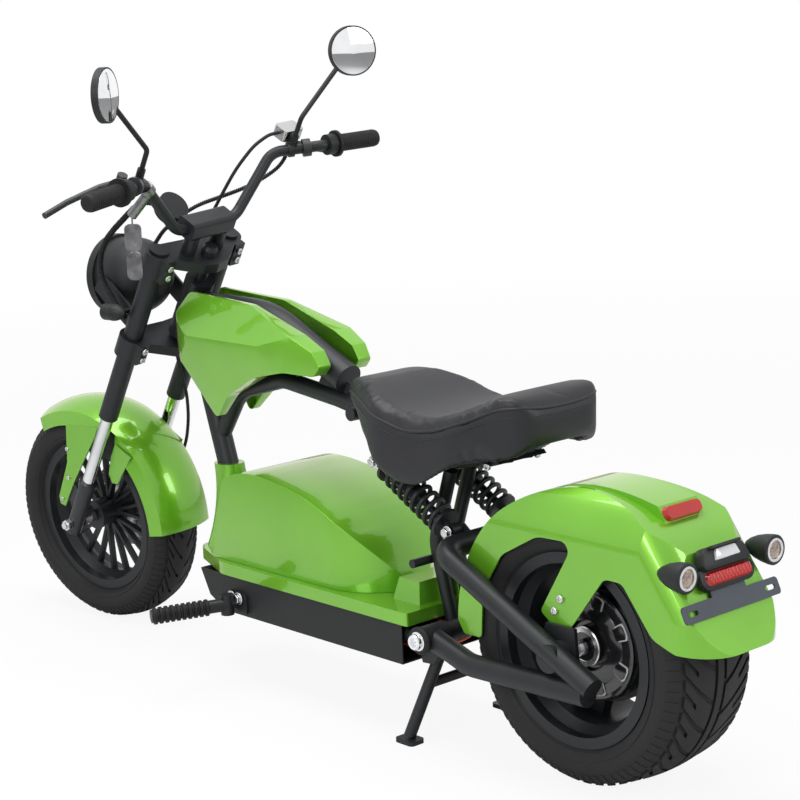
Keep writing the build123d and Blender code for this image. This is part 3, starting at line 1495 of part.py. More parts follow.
with BuildPart() as key_set:
    knee = steering.from_local_coords(bar_knee)
    run = (steering.from_local_coords(bar_foot) - knee).normalized()
    ring_middle = knee + run * 24
    with BuildSketch(Plane(origin=ring_middle - run * lock_ring_half, z_dir=run)):
        Circle(lock_ring_radius)
    extrude(amount=2 * lock_ring_half)
    bar(steering, tuple(lock_top), tuple(lock_end), lock_radius)
    hook = steering.from_local_coords(lock_end)
    hang = Plane(origin=hook, x_dir=(0.68, 0.73, 0), z_dir=(0, 0, 1))
    with BuildSketch(hang.offset(-fob_drop - 4)):
        Circle(chain_radius)
    extrude(amount=fob_drop + 8)
    for drop, width, height, thickness, edge in ((tag_drop, tag_width, tag_height, tag_thickness, 10),
                                                 (fob_drop, fob_width, fob_height, fob_thickness, 12)):
        face = Plane(origin=hang.from_local_coords((0, thickness / 2, 0)), x_dir=hang.x_dir, z_dir=hang.y_dir)
        with BuildSketch(face):
            with Locations((0, drop + height / 2)):
                RectangleRounded(width, height, edge)
        extrude(amount=-thickness)
    tube(steering, bar_points, handlebar_radius, 45, mode=Mode.SUBTRACT)
finish(key_set, "key_set")
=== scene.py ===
"""Electric chopper scooter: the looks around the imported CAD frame. Metres, +X forward, +Y left, +Z up."""

import json
from math import atan2, cos, hypot, pi, radians, sin

import bpy
from mathutils import Matrix, Vector


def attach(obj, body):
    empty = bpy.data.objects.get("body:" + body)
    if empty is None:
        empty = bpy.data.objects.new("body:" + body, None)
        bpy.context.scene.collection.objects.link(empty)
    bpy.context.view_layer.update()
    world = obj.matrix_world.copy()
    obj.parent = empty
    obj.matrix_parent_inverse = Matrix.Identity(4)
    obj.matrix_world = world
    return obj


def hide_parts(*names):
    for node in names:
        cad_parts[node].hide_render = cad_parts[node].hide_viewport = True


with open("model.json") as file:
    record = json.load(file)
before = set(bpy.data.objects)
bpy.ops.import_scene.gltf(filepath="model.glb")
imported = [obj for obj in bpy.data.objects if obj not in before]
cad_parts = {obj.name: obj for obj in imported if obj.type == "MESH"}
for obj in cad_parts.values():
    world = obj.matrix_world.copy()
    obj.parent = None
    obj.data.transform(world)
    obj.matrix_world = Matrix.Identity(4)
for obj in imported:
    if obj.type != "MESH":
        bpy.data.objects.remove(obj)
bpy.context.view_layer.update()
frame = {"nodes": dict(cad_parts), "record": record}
nodes = frame["nodes"]

# ---------------------------------------------------------------- frames, in millimetres
# The chassis frame starts on the ground under the rear axle. The steering frame has Z up the steering axis.

MM = 0.001
REAR_AXLE_X = -0.7037
REAR_AXLE_HEIGHT = 0.242
STEERING_ORIGIN = (0.709442, 0, 0.212672)
FRONT_AXLE_OFFSET = 43
REST_TURN = radians(8)
RAKE = radians(31)
SCALE = Matrix.Scale(MM, 4)
Y_TO_Z = Matrix.Rotation(pi / 2, 4, "X")
HALF_TURN = Matrix.Rotation(pi, 4, "Z")

steer_x = Vector((cos(RAKE) * cos(REST_TURN), sin(REST_TURN), sin(RAKE) * cos(REST_TURN)))
steer_z = Vector((-sin(RAKE), 0, cos(RAKE)))
steer_y = steer_z.cross(steer_x)
steer_turn = Matrix((steer_x, steer_y, steer_z)).transposed().to_4x4()

CHASSIS = Matrix.Translation((REAR_AXLE_X, 0, 0)) @ SCALE
REAR_WHEEL = Matrix.Translation((REAR_AXLE_X, 0, REAR_AXLE_HEIGHT)) @ SCALE
STEERING = Matrix.Translation(STEERING_ORIGIN) @ steer_turn @ SCALE
FRONT_WHEEL = STEERING @ Matrix.Translation((FRONT_AXLE_OFFSET, 0, 0))


# ---------------------------------------------------------------- modelling helpers


def clear_selection():
    """Leaves edit mode and selects nothing."""
    if bpy.context.object and bpy.context.object.mode != "OBJECT":
        bpy.ops.object.mode_set(mode="OBJECT")
    bpy.ops.object.select_all(action="DESELECT")


def only(piece):
    """Makes one piece the selected and active one."""
    clear_selection()
    piece.select_set(True)
    bpy.context.view_layer.objects.active = piece


# ---------------------------------------------------------------- materials


def node_tree(name):
    """A new material with its tree and its shader."""
    material = bpy.data.materials.new(name)
    material.use_nodes = True
    tree = material.node_tree
    return material, tree, tree.nodes["Principled BSDF"]


def build_group(name, inputs, outputs):
    """A node group with these sockets, and its two end nodes."""
    group = bpy.data.node_groups.new(name, "ShaderNodeTree")
    for label, kind, value in inputs:
        socket = group.interface.new_socket(name=label, in_out="INPUT", socket_type=kind)
        if value is not None:
            socket.default_value = value
    for label, kind in outputs:
        group.interface.new_socket(name=label, in_out="OUTPUT", socket_type=kind)
    return group, group.nodes.new("NodeGroupInput"), group.nodes.new("NodeGroupOutput")


def fine_grain_group():
    """Small surface relief with a slow variation: gives a normal and a mask for colour and gloss."""
    group, entry, leave = build_group(
        "fine grain",
        [("Vector", "NodeSocketVector", None), ("Grain Scale", "NodeSocketFloat", 900.0),
         ("Depth", "NodeSocketFloat", 0.2), ("Patch Scale", "NodeSocketFloat", 9.0)],
        [("Normal", "NodeSocketVector"), ("Patches", "NodeSocketFloat")],
    )
    make, link = group.nodes.new, group.links.new
    grain = make("ShaderNodeTexNoise")
    grain.inputs["Detail"].default_value = 4
    patches = make("ShaderNodeTexNoise")
    patches.inputs["Detail"].default_value = 3
    bump = make("ShaderNodeBump")
    bump.inputs["Distance"].default_value = 0.0004
    for texture, scale in ((grain, "Grain Scale"), (patches, "Patch Scale")):
        link(entry.outputs["Vector"], texture.inputs["Vector"])
        link(entry.outputs[scale], texture.inputs["Scale"])
    link(grain.outputs["Fac"], bump.inputs["Height"])
    link(entry.outputs["Depth"], bump.inputs["Strength"])
    link(bump.outputs["Normal"], leave.inputs["Normal"])
    link(patches.outputs["Fac"], leave.inputs["Patches"])
    return group


GRAIN = fine_grain_group()


def finish_material(name, colour, rough, metallic=0.0, shade=0.12, gloss_change=0.08, grain=900, depth=0.15,
                    patch=9, coat=0.0, sockets=None):
    """A material whose colour and gloss drift a little over the piece, over a fine relief."""
    material, tree, shader = node_tree(name)
    make, link = tree.nodes.new, tree.links.new
    place = make("ShaderNodeTexCoord")
    effect = make("ShaderNodeGroup")
    effect.node_tree = GRAIN
    effect.inputs["Grain Scale"].default_value = grain
    effect.inputs["Depth"].default_value = depth
    effect.inputs["Patch Scale"].default_value = patch
    link(place.outputs["Object"], effect.inputs["Vector"])
    tint = make("ShaderNodeValToRGB")
    tint.color_ramp.elements[0].position = 0.3
    tint.color_ramp.elements[1].position = 0.7
    tint.color_ramp.elements[0].color = [c * (1 - shade) for c in colour] + [1]
    tint.color_ramp.elements[1].color = [min(1, c * (1 + shade)) for c in colour] + [1]
    link(effect.outputs["Patches"], tint.inputs["Fac"])
    link(tint.outputs["Color"], shader.inputs["Base Color"])
    gloss = make("ShaderNodeMapRange")
    gloss.inputs["To Min"].default_value = max(0.0, rough - gloss_change)
    gloss.inputs["To Max"].default_value = min(1.0, rough + gloss_change)
    link(effect.outputs["Patches"], gloss.inputs["Value"])
    link(gloss.outputs["Result"], shader.inputs["Roughness"])
    link(effect.outputs["Normal"], shader.inputs["Normal"])
    shader.inputs["Metallic"].default_value = metallic
    shader.inputs["Coat Weight"].default_value = coat
    shader.inputs["Coat Roughness"].default_value = 0.04
    for label, value in (sockets or {}).items():
        shader.inputs[label].default_value = value
    return material


green_paint = finish_material(
    "green pearl paint", (0.155, 0.47, 0.022), 0.3, metallic=0.35, shade=0.06, gloss_change=0.03, grain=2600,
    depth=0.05, patch=5, coat=1.0,
    sockets={"Specular Tint": (1.0, 0.86, 0.3, 1), "Sheen Weight": 0.12, "Sheen Roughness": 0.3,
             "Sheen Tint": (1.0, 0.85, 0.1, 1)})
frame_black = finish_material("satin black paint", (0.013, 0.0145, 0.017), 0.42, grain=1500, depth=0.12,
                              sockets={"Specular IOR Level": 0.34})
box_black = finish_material("black plastic", (0.011, 0.012, 0.013), 0.5, grain=1800, depth=0.25,
                            sockets={"Specular IOR Level": 0.32})
gloss_black = finish_material("gloss black enamel", (0.012, 0.012, 0.014), 0.2, coat=0.6, depth=0.05)
tyre_rubber = finish_material("tyre rubber", (0.011, 0.011, 0.012), 0.66, grain=700, depth=0.35,
                              sockets={"Specular IOR Level": 0.34})
grip_rubber = finish_material("grip rubber", (0.009, 0.009, 0.010), 0.6, grain=1200, depth=0.35,
                              sockets={"Specular IOR Level": 0.3})
seat_cover = finish_material("seat leatherette", (0.013, 0.0135, 0.016), 0.45, grain=520, depth=0.55,
                             patch=12, sockets={"Specular IOR Level": 0.36})
chrome = finish_material("polished chrome", (0.78, 0.79, 0.81), 0.08, metallic=1.0, gloss_change=0.03,
                         depth=0.02)
key_steel = finish_material("dark key steel", (0.2, 0.2, 0.21), 0.25, metallic=0.9, shade=0.4, patch=40,
                            depth=0.1)
steel = finish_material("bright steel", (0.62, 0.62, 0.63), 0.25, metallic=1.0, gloss_change=0.08, depth=0.08)
alloy = finish_material("dark cast alloy", (0.035, 0.036, 0.04), 0.4, metallic=0.4, grain=800, depth=0.3)
red_lens = finish_material("red lens", (0.5, 0.008, 0.005), 0.15, coat=0.4, depth=0.02)
clear_lens = finish_material("clear lens", (0.75, 0.77, 0.8), 0.1, coat=1.0, depth=0.02)
smoked_lens = finish_material("smoked reflector", (0.33, 0.25, 0.2), 0.15, metallic=0.5, shade=0.5, patch=300,
                              coat=1.0, depth=0.3)
mirror_glass = finish_material("mirror glass", (0.85, 0.86, 0.88), 0.03, metallic=1.0, gloss_change=0.01,
                               depth=0.0)
bracket_grey = finish_material("grey bracket paint", (0.045, 0.055, 0.075), 0.4, depth=0.12)
white_mark = finish_material("white mark paint", (0.6, 0.6, 0.6), 0.5, depth=0.05)
orange_cable = finish_material("orange cable sheath", (0.85, 0.10, 0.012), 0.4, depth=0.1)

finishes = {
    "green_paint": green_paint, "frame_black": frame_black, "box_black": box_black,
    "tyre_rubber": tyre_rubber, "grip_rubber": grip_rubber, "seat_cover": seat_cover, "fork_chrome": chrome,
    "bare_steel": steel, "cast_alloy": alloy, "motor_black": gloss_black, "clear_lens": clear_lens,
    "red_lens": red_lens, "mirror_glass": mirror_glass, "bracket_grey": bracket_grey,
    "cable_black": grip_rubber, "cable_orange": orange_cable,
}
for part in frame["record"]["subparts"]:
    piece = nodes[part["node"]]
    piece.data.materials.clear()
    piece.data.materials.append(finishes[part["material_slot"]])
nodes["key_set"].data.materials[0] = key_steel

# ---------------------------------------------------------------- how pieces are made


def settle(piece, place):
    """Puts a piece that was modelled in a frame's millimetres into that frame, with the place in its mesh."""
    only(piece)
    piece.matrix_world = place
    bpy.ops.object.transform_apply(location=True, rotation=True, scale=True)


def traced(name, points):
    """An open line that grows from one vertex, extruded from point to point. It stays in edit mode."""
    clear_selection()
    bpy.ops.mesh.primitive_plane_add(size=1, location=(0, 0, 0))
    piece = bpy.context.object
    piece.name = name
    bpy.ops.object.mode_set(mode="EDIT")
    bpy.ops.mesh.select_mode(type="VERT")
    bpy.ops.mesh.select_all(action="SELECT")
    bpy.ops.mesh.merge(type="CENTER")
    bpy.ops.transform.translate(value=points[0])
    for start, end in zip(points, points[1:]):
        bpy.ops.mesh.extrude_region_move(TRANSFORM_OT_translate={"value": Vector(end) - Vector(start)})
    return piece


def tidy_mesh(threshold=0.01):
    """Merges what lies within the threshold, in the mesh's own unit, and turns all faces outward."""
    bpy.ops.mesh.select_all(action="SELECT")
    bpy.ops.mesh.remove_doubles(threshold=threshold)
    bpy.ops.mesh.normals_make_consistent(inside=False)


def lathed(name, profile, steps):
    """A ring turned about Y from (radius, offset) points."""
    piece = traced(name, [(radius, offset, 0) for radius, offset in profile])
    bpy.ops.mesh.select_all(action="SELECT")
    bpy.ops.mesh.spin(steps=steps, angle=2 * pi, center=(0, 0, 0), axis=(0, 1, 0))
    tidy_mesh()
    bpy.ops.object.mode_set(mode="OBJECT")
    return piece


def cut_plate(name, outline, depth, bevel=0.0):
    """A plate: an outline of points, filled and extruded by a vector."""
    piece = traced(name, outline)
    bpy.ops.mesh.select_all(action="SELECT")
    bpy.ops.mesh.edge_face_add()
    bpy.ops.mesh.extrude_region_move(TRANSFORM_OT_translate={"value": depth})
    tidy_mesh()
    bpy.ops.object.mode_set(mode="OBJECT")
    if bevel:
        round_edges(piece, bevel)
    return piece


def shaped(piece, kind, **settings):
    """Adds a modifier with these settings and applies it."""
    only(piece)
    change = piece.modifiers.new(kind.lower(), kind)
    for label, value in settings.items():
        setattr(change, label, value)
    bpy.ops.object.modifier_apply(modifier=change.name)


def round_edges(piece, width, segments=2, **limits):
    """Bevels the sharp edges."""
    shaped(piece, "BEVEL", width=width, segments=segments, limit_method="ANGLE", **limits)


def select_faces(piece, wanted):
    """Selects the faces whose centre and normal pass the test, and returns to edit mode."""
    only(piece)
    bpy.ops.object.mode_set(mode="EDIT")
    bpy.ops.mesh.select_mode(type="FACE")
    bpy.ops.mesh.select_all(action="DESELECT")
    bpy.ops.object.mode_set(mode="OBJECT")
    for face in piece.data.polygons:
        face.select = wanted(face.center, face.normal)
    bpy.ops.object.mode_set(mode="EDIT")


def raise_faces(piece, wanted, height):
    """Lifts the faces that pass the test by a height, with walls at the edges of the raised areas."""
    select_faces(piece, wanted)
    bpy.ops.mesh.extrude_region_shrink_fatten(TRANSFORM_OT_shrink_fatten={"value": height})
    bpy.ops.object.mode_set(mode="OBJECT")


def column_of(spot, columns):
    """The column that a point of a lathed piece is in, counted round Y."""
    return int((atan2(spot.z, spot.x) / (2 * pi) + 1) * columns)


def reach_of(spot):
    """How far a point of a lathed piece is from its axis."""
    return hypot(spot.x, spot.z)


def copied(piece, place):
    """A copy with its own mesh, settled at a place."""
    twin = piece.copy()
    twin.data = piece.data.copy()
    bpy.context.collection.objects.link(twin)
    settle(twin, place)
    return twin


def joined(name, pieces):
    """Joins pieces into one with this name."""
    only(pieces[0])
    for piece in pieces:
        piece.select_set(True)
    bpy.ops.object.join()
    bpy.context.object.name = name
    return bpy.context.object


def dress(piece, finish, body, angle=35):
    """Gives a piece its smoothing and its material, and names its body."""
    only(piece)
    bpy.ops.object.shade_smooth_by_angle(angle=radians(angle))
    piece.data.materials.clear()
    piece.data.materials.append(finish)
    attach(piece, body)
    return piece


def arc(start, middle, end, count):
    """Points on the circle through three points of a plane, ends included."""
    (ax, ay), (bx, by), (cx, cy) = start, middle, end
    twice = 2 * (ax * (by - cy) + bx * (cy - ay) + cx * (ay - by))
    a2, b2, c2 = ax * ax + ay * ay, bx * bx + by * by, cx * cx + cy * cy
    ux = (a2 * (by - cy) + b2 * (cy - ay) + c2 * (ay - by)) / twice
    uy = (a2 * (cx - bx) + b2 * (ax - cx) + c2 * (bx - ax)) / twice
    radius = hypot(ax - ux, ay - uy)
    first = atan2(ay - uy, ax - ux)
    turn = [(atan2(y - uy, x - ux) - first) % (2 * pi) for x, y in (middle, end)]
    sweep = turn[1] if turn[0] < turn[1] else turn[1] - 2 * pi
    return [(ux + radius * cos(first + sweep * step / count), uy + radius * sin(first + sweep * step / count))
            for step in range(count + 1)]


def discard(*pieces):
    """Deletes models whose copies are in place."""
    clear_selection()
    for piece in pieces:
        piece.select_set(True)
    bpy.ops.object.delete()


def facing(direction):
    """A turn that takes +Z to a direction."""
    return Vector(direction).to_track_quat("Z", "Y").to_matrix().to_4x4()


SKIN_MERGE = 0.00002


def skin_of(node, name):
    """A copy of a CAD solid's mesh that is free to be changed, merged into one skin."""
    skin = nodes[node].copy()
    skin.data = skin.data.copy()
    bpy.context.collection.objects.link(skin)
    skin.name = name
    only(skin)
    bpy.ops.object.mode_set(mode="EDIT")
    tidy_mesh(SKIN_MERGE)
    bpy.ops.object.mode_set(mode="OBJECT")
    return skin


def line_object(name, kind, points):
    """A curve object of one spline with these points, in metres."""
    curve = bpy.data.curves.new(name, "CURVE")
    curve.dimensions = "3D"
    spline = curve.splines.new(kind)
    spline.points.add(len(points) - 1)
    for target, point in zip(spline.points, points):
        target.co = (*point, 1)
    line = bpy.data.objects.new(name, curve)
    bpy.context.collection.objects.link(line)
    return line, spline


def thickened(line, radius, roundness):
    """Gives a curve its thickness and turns it into a mesh."""
    line.data.bevel_depth = radius
    line.data.bevel_resolution = roundness
    only(line)
    bpy.ops.object.convert(target="MESH")
    return bpy.context.object


# ---------------------------------------------------------------- tyres

RIM_RADIUS = 166
BEAD_DEPTH = 6
WIDEST_AT = 0.52
SIDE_STEPS = 9
GROOVE_DEPTH = 4
GROOVE_FADE = 2.4
COLUMNS_PER_PITCH = 6
# bounds across the tread, as shares of half its width
MIDDLE_RIB, MIDDLE_GROOVE, SHOULDER_BLOCKS, TREAD_EDGE = 0.1, 0.17, 0.58, 0.93
RIB_HEIGHT = 0.9
RING_HEIGHT = 1.2
RING_FROM, RING_TO = RIM_RADIUS + 8, RIM_RADIUS + 16
GROOVE_SWEEP = -0.3


def treaded_tyre(node, place, body, radius, half, bead_half, crown_half, crown_drop, pitches, rows):
    """A tyre with a grooved crown, ribbed shoulders and moulded rings on its sidewalls."""
    shoulder = radius - crown_drop
    wide = RIM_RADIUS + WIDEST_AT * (shoulder - RIM_RADIUS)
    side = arc((RIM_RADIUS, bead_half + 1.5), (wide, half), (shoulder, crown_half), SIDE_STEPS)
    crown = arc((shoulder, crown_half), (radius, 0), (shoulder, -crown_half), rows)
    crown = [(r - GROOVE_DEPTH * min(1.0, GROOVE_FADE * (1 - abs(y) / crown_half)), y) for r, y in crown]
    half_ring = [(RIM_RADIUS - BEAD_DEPTH, bead_half - 1)] + side
    profile = half_ring + crown[1:-1] + [(r, -y) for r, y in reversed(half_ring)] + [half_ring[0]]
    columns = COLUMNS_PER_PITCH * pitches
    piece = lathed(node + "_tread", profile, columns)

    def on_block(centre, normal):
        across = abs(centre.y) / crown_half
        if across >= TREAD_EDGE or reach_of(centre) <= shoulder - GROOVE_DEPTH - 1:
            return False
        if across < MIDDLE_GROOVE:
            return across < MIDDLE_RIB
        column = column_of(centre, columns) + (0 if centre.y > 0 else 3)
        return column % (3 if across > SHOULDER_BLOCKS else 6) != 0

    def on_rib(centre, normal):
        lowest = RIM_RADIUS + (shoulder - RIM_RADIUS) * 0.66
        return (lowest < reach_of(centre) < shoulder - 2 and abs(normal.y) > 0.35
                and abs(centre.y) > crown_half * 0.9 and column_of(centre, columns) % 2 == 0)

    def on_ring(centre, normal):
        return abs(normal.y) > 0.5 and RING_FROM < reach_of(centre) < RING_TO

    raise_faces(piece, on_block, GROOVE_DEPTH)
    raise_faces(piece, on_rib, RIB_HEIGHT)
    raise_faces(piece, on_ring, RING_HEIGHT)
    # the grooves sweep back: a vertex turns round the axle with its distance from the middle
    for vertex in piece.data.vertices:
        turn = GROOVE_SWEEP * min(1.0, abs(vertex.co.y) / crown_half) ** 1.5
        x, z = vertex.co.x, vertex.co.z
        vertex.co.x = x * cos(turn) - z * sin(turn)
        vertex.co.z = x * sin(turn) + z * cos(turn)
    settle(piece, place)
    dress(piece, tyre_rubber, body, 28)
    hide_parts(node)


treaded_tyre("rear_tyre", REAR_WHEEL, "rear_wheel", radius=238, half=102, bead_half=88, crown_half=84.7,
             crown_drop=12, pitches=26, rows=24)
treaded_tyre("front_tyre", FRONT_WHEEL, "front_wheel", radius=235, half=61, bead_half=38, crown_half=43.9,
             crown_drop=13, pitches=30, rows=18)

# ---------------------------------------------------------------- hub motor's cover: dish, ring and petals

PETALS = 7
PETAL_MIDDLE = 66
petal_outline = [(44, -7), (58, -12), (84, -15), (88, -8), (88, 8), (84, 15), (58, 12), (44, 7)]
dish_profile = [(96, 44), (96, 49), (92, 51), (86, 47), (70, 46.5), (60, 52), (44, 54), (40, 46), (96, 44)]
boss_profile = [(24, 60), (24, 63.4), (25, 64.4), (33, 64.4), (34.6, 63), (34.6, 60), (24, 60)]

for name, profile, finish, slot in (("motor_dish", dish_profile, gloss_black, "motor_black"),
                                    ("motor_ring", boss_profile, steel, "bare_steel")):
    ring = lathed(name, profile, 72)
    settle(ring, REAR_WHEEL)
    dress(ring, finish, "rear_wheel", 30)

for name, length, width, lift, depth, finish in (("motor_petal_edges", 1.0, 1.0, 47, 1.4, white_mark),
                                                 ("motor_petals", 0.9, 0.828, 48.4, 2.2, gloss_black)):
    outline = [(PETAL_MIDDLE + (x - PETAL_MIDDLE) * length, lift, z * width) for x, z in petal_outline]
    first = cut_plate(name, outline, (0, depth, 0), 0.6)
    others = [copied(first, Matrix.Rotation(2 * pi * count / PETALS, 4, "Y")) for count in range(1, PETALS)]
    whole = joined(name, [first] + others)
    settle(whole, REAR_WHEEL)
    dress(whole, finish, "rear_wheel")

# ---------------------------------------------------------------- screws and bolts


def inset_head(vertices, radius, height, foot, rim, crown):
    """A cylinder on Z = foot, its top inset by a share of its radius and raised by a share of its height."""
    clear_selection()
    bpy.ops.mesh.primitive_cylinder_add(vertices=vertices, radius=radius, depth=height,
                                        location=(0, 0, height / 2 + foot))
    head = bpy.context.object
    bpy.ops.object.transform_apply(location=True, rotation=False, scale=False)
    select_faces(head, lambda centre, normal: normal.z > 0.9)
    bpy.ops.mesh.inset(thickness=radius * rim)
    bpy.ops.transform.translate(value=(0, 0, height * crown))
    return head


def socket_screw(radius, height):
    """A round head with a recessed socket, standing on Z = 0."""
    screw = inset_head(24, radius, height, 0, 0.22, 0.16)
    bpy.ops.mesh.inset(thickness=radius * 0.3)
    bpy.ops.mesh.extrude_region_move(TRANSFORM_OT_translate={"value": (0, 0, -height * 0.55)})
    bpy.ops.object.mode_set(mode="OBJECT")
    round_edges(screw, radius * 0.08)
    return screw


def hex_bolt(radius, height):
    """A hexagon head on a thin washer, standing on Z = 0."""
    head = inset_head(6, radius, height, 1.6, 0.16, 0.14)
    bpy.ops.object.mode_set(mode="OBJECT")
    rim = radius * 1.35
    washer = lathed("washer", [(0.5, 0), (rim, 0), (rim, 1.2), (radius * 1.2, 1.7), (0.5, 1.7), (0.5, 0)], 28)
    settle(washer, Y_TO_Z)
    bolt = joined("bolt", [head, washer])
    round_edges(bolt, 0.5)
    return bolt


def row_of(name, model, frame_place, seats, body):
    """Copies of one fastener at (place, direction) seats, joined into one piece."""
    copies = [copied(model, frame_place @ Matrix.Translation(place) @ facing(direction))
              for place, direction in seats]
    return dress(joined(name, copies), steel, body)


def on_both_sides(half, *spots):
    """Seats that face outward at (x, z) spots, on the left and then on the right."""
    return [((x, left * half, z), (0, left, 0)) for left in (1, -1) for x, z in spots]


CLAMP_SCREW_HEIGHTS = (691, 670, 488, 467)

screw_large = socket_screw(7, 5)
screw_small = socket_screw(4.5, 3.4)
nut = hex_bolt(9, 6)

row_of("fork_clamp_screws", screw_large, STEERING,
       [((4, left * 96, height), (-1, 0, 0)) for left in (1, -1) for height in CLAMP_SCREW_HEIGHTS], "fork")
row_of("fender_ear_screws", screw_small, FRONT_WHEEL, on_both_sides(76, (98, 122), (71, 62), (70, 4)), "fork")
row_of("fender_leg_screws", screw_large, CHASSIS,
       [((x, 110, z), (0, 1, 0)) for x, z in ((4, 334), (18, 311))], "chassis")
row_of("peg_screws", nut, CHASSIS, on_both_sides(131, (842, 178), (864, 178)), "chassis")
row_of("shock_nuts", nut, CHASSIS, on_both_sides(92, (474, 493)) + on_both_sides(86, (296, 392)), "chassis")
row_of("seat_rail_screws", screw_large, CHASSIS, on_both_sides(59, (216, 516)), "chassis")

# the swingarm's pivot: a head with six notches and a rubber seal, on both sides
PIVOT_COLUMNS = 36
head_profile = [(1, 0), (17, 0), (17, 2), (15.5, 3), (14, 3), (14, 10), (12.5, 12), (8, 12), (8, 7), (1, 7),
                (1, 0)]
seal_profile = [(16, -8), (24, -8), (25, -2), (22, 1.5), (17, 1.5), (16, -8)]
pivot_head = lathed("pivot_bolt_head", head_profile, PIVOT_COLUMNS)
raise_faces(pivot_head, lambda centre, normal: abs(normal.y) < 0.3 and 13 < reach_of(centre) < 14.4
            and centre.y > 3 and column_of(centre, PIVOT_COLUMNS) % 6 < 2, -2.2)
seal = lathed("pivot_seal", seal_profile, 40)
for name, model, half, finish, slot in (("pivot_bolt_heads", pivot_head, 160, chrome, "bare_steel"),
                                        ("pivot_seals", seal, 159, grip_rubber, "grip_rubber")):
    pair = [copied(model, CHASSIS @ Matrix.Translation((300, half, 212))),
            copied(model, CHASSIS @ Matrix.Translation((300, -half, 212)) @ HALF_TURN)]
    dress(joined(name, pair), finish, "chassis")
discard(pivot_head, seal, screw_large, screw_small, nut)

# ---------------------------------------------------------------- grips and pegs

GRIP_LENGTH = 92
PEG_LENGTH = 112
PEG_COLLAR = 34
PEG_SWEEP = radians(24)


def ribbed_sleeve(name, radius, rib, length, ribs, place, body):
    """A ribbed rubber sleeve along +Z."""
    pitch = length / ribs
    profile = [(radius - 2, 0)]
    for count in range(ribs):
        low = count * pitch
        profile += [(radius, low + pitch * 0.08), (radius + rib, low + pitch * 0.22),
                    (radius + rib, low + pitch * 0.7), (radius, low + pitch * 0.84)]
    profile += [(radius - 2, length), (radius - 2, 0)]
    sleeve = lathed(name, profile, 32)
    settle(sleeve, Y_TO_Z)
    settle(sleeve, place)
    return dress(sleeve, grip_rubber, body, 40)


for name, left in (("left", 1), ("right", -1)):
    inner_end = Vector((14, left * 262, 905))
    outer_end = Vector((-12, left * 388, 917))
    along = (outer_end - inner_end).normalized()
    ribbed_sleeve(name + "_grip_ribs", 16.2, 1.6, GRIP_LENGTH, 15,
                  STEERING @ Matrix.Translation(outer_end - along * GRIP_LENGTH) @ facing(along), "fork")
    peg_start = Vector((856, left * 151, 168))
    along = Vector((sin(PEG_SWEEP), left * cos(PEG_SWEEP), -0.03)).normalized()
    ribbed_sleeve(name + "_peg_ribs", 13.2, 3.2, PEG_LENGTH, 10,
                  CHASSIS @ Matrix.Translation(peg_start + along * PEG_COLLAR) @ facing(along), "chassis")

# ---------------------------------------------------------------- saddle

EVEN_MESH = 0.0055
SMOOTHING_ROUNDS = 14
CLOTH_STEPS = 12
INSIDE_PRESSURE = 4
MOST_SWELL = 0.006


def soft_saddle():
    """The saddle's cushion: remeshed from its solid, swelled as cloth, then subdivided once."""
    cushion = skin_of("seat", "saddle_cushion")
    shaped(cushion, "REMESH", mode="VOXEL", voxel_size=EVEN_MESH)
    shaped(cushion, "SMOOTH", factor=0.5, iterations=SMOOTHING_ROUNDS)
    rest = [vertex.co.copy() for vertex in cushion.data.vertices]
    cloth = cushion.modifiers.new("swell", "CLOTH")
    cloth.settings.use_pressure = True
    cloth.settings.uniform_pressure_force = INSIDE_PRESSURE
    cloth.settings.effector_weights.gravity = 0
    for step in range(1, CLOTH_STEPS + 1):
        bpy.context.scene.frame_set(step)
    only(cushion)
    bpy.ops.object.modifier_apply(modifier=cloth.name)
    bpy.context.scene.frame_set(1)
    for vertex, start in zip(cushion.data.vertices, rest):
        move = vertex.co - start
        if move.length > MOST_SWELL:
            vertex.co = start + move.normalized() * MOST_SWELL
    shaped(cushion, "SUBSURF", levels=1, render_levels=1)
    dress(cushion, seat_cover, "chassis", 80)
    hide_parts("seat")
    return cushion


saddle = soft_saddle()
BEAD_STEPS = 6
BEAD_LIFT = 0.3
EASING_ROUNDS = 4
SEAM_DROP = 14


def sewn_line(name, rim, thickness):
    """A bead that follows the saddle's skin through the rim's points and their mirror."""
    loop = list(rim) + [(x, -y, z) for x, y, z in reversed(rim)]
    snapped = []
    for start, end in zip(loop, loop[1:] + loop[:1]):
        for step in range(BEAD_STEPS):
            place = CHASSIS @ Vector(start).lerp(Vector(end), step / BEAD_STEPS)
            _, spot, outward, _ = saddle.closest_point_on_mesh(place)
            snapped.append(spot + outward * thickness * BEAD_LIFT)
    for _ in range(EASING_ROUNDS):
        snapped = [(before + 2 * here + after) / 4 for before, here, after
                   in zip(snapped[-1:] + snapped[:-1], snapped, snapped[1:] + snapped[:1])]
    line, spline = line_object(name, "NURBS", snapped)
    spline.use_cyclic_u = True
    spline.order_u = 3
    spline.resolution_u = 3
    return dress(thickened(line, thickness, 2), seat_cover, "chassis", 60)


rim = [(586, 20, 602), (576, 52, 606), (540, 78, 612), (480, 108, 606), (420, 132, 588), (340, 134, 572),
       (260, 134, 584), (190, 128, 610), (130, 108, 634), (94, 76, 634), (86, 30, 632)]
sewn_line("saddle_piping", rim, 0.0026)
sewn_line("saddle_seam", [(x, y, z - SEAM_DROP) for x, y, z in rim], 0.0011)

# ---------------------------------------------------------------- tail lamp and indicators
# The lamp's frame lies on the fender's rear slope: X to the left, Y down the slope and Z out of it.

LAMP_TILT = radians(24.1)
LAMP = CHASSIS @ Matrix(((0, -sin(LAMP_TILT), -cos(LAMP_TILT), -238.6), (1, 0, 0, 0),
                         (0, -cos(LAMP_TILT), sin(LAMP_TILT), 396.2), (0, 0, 0, 1)))


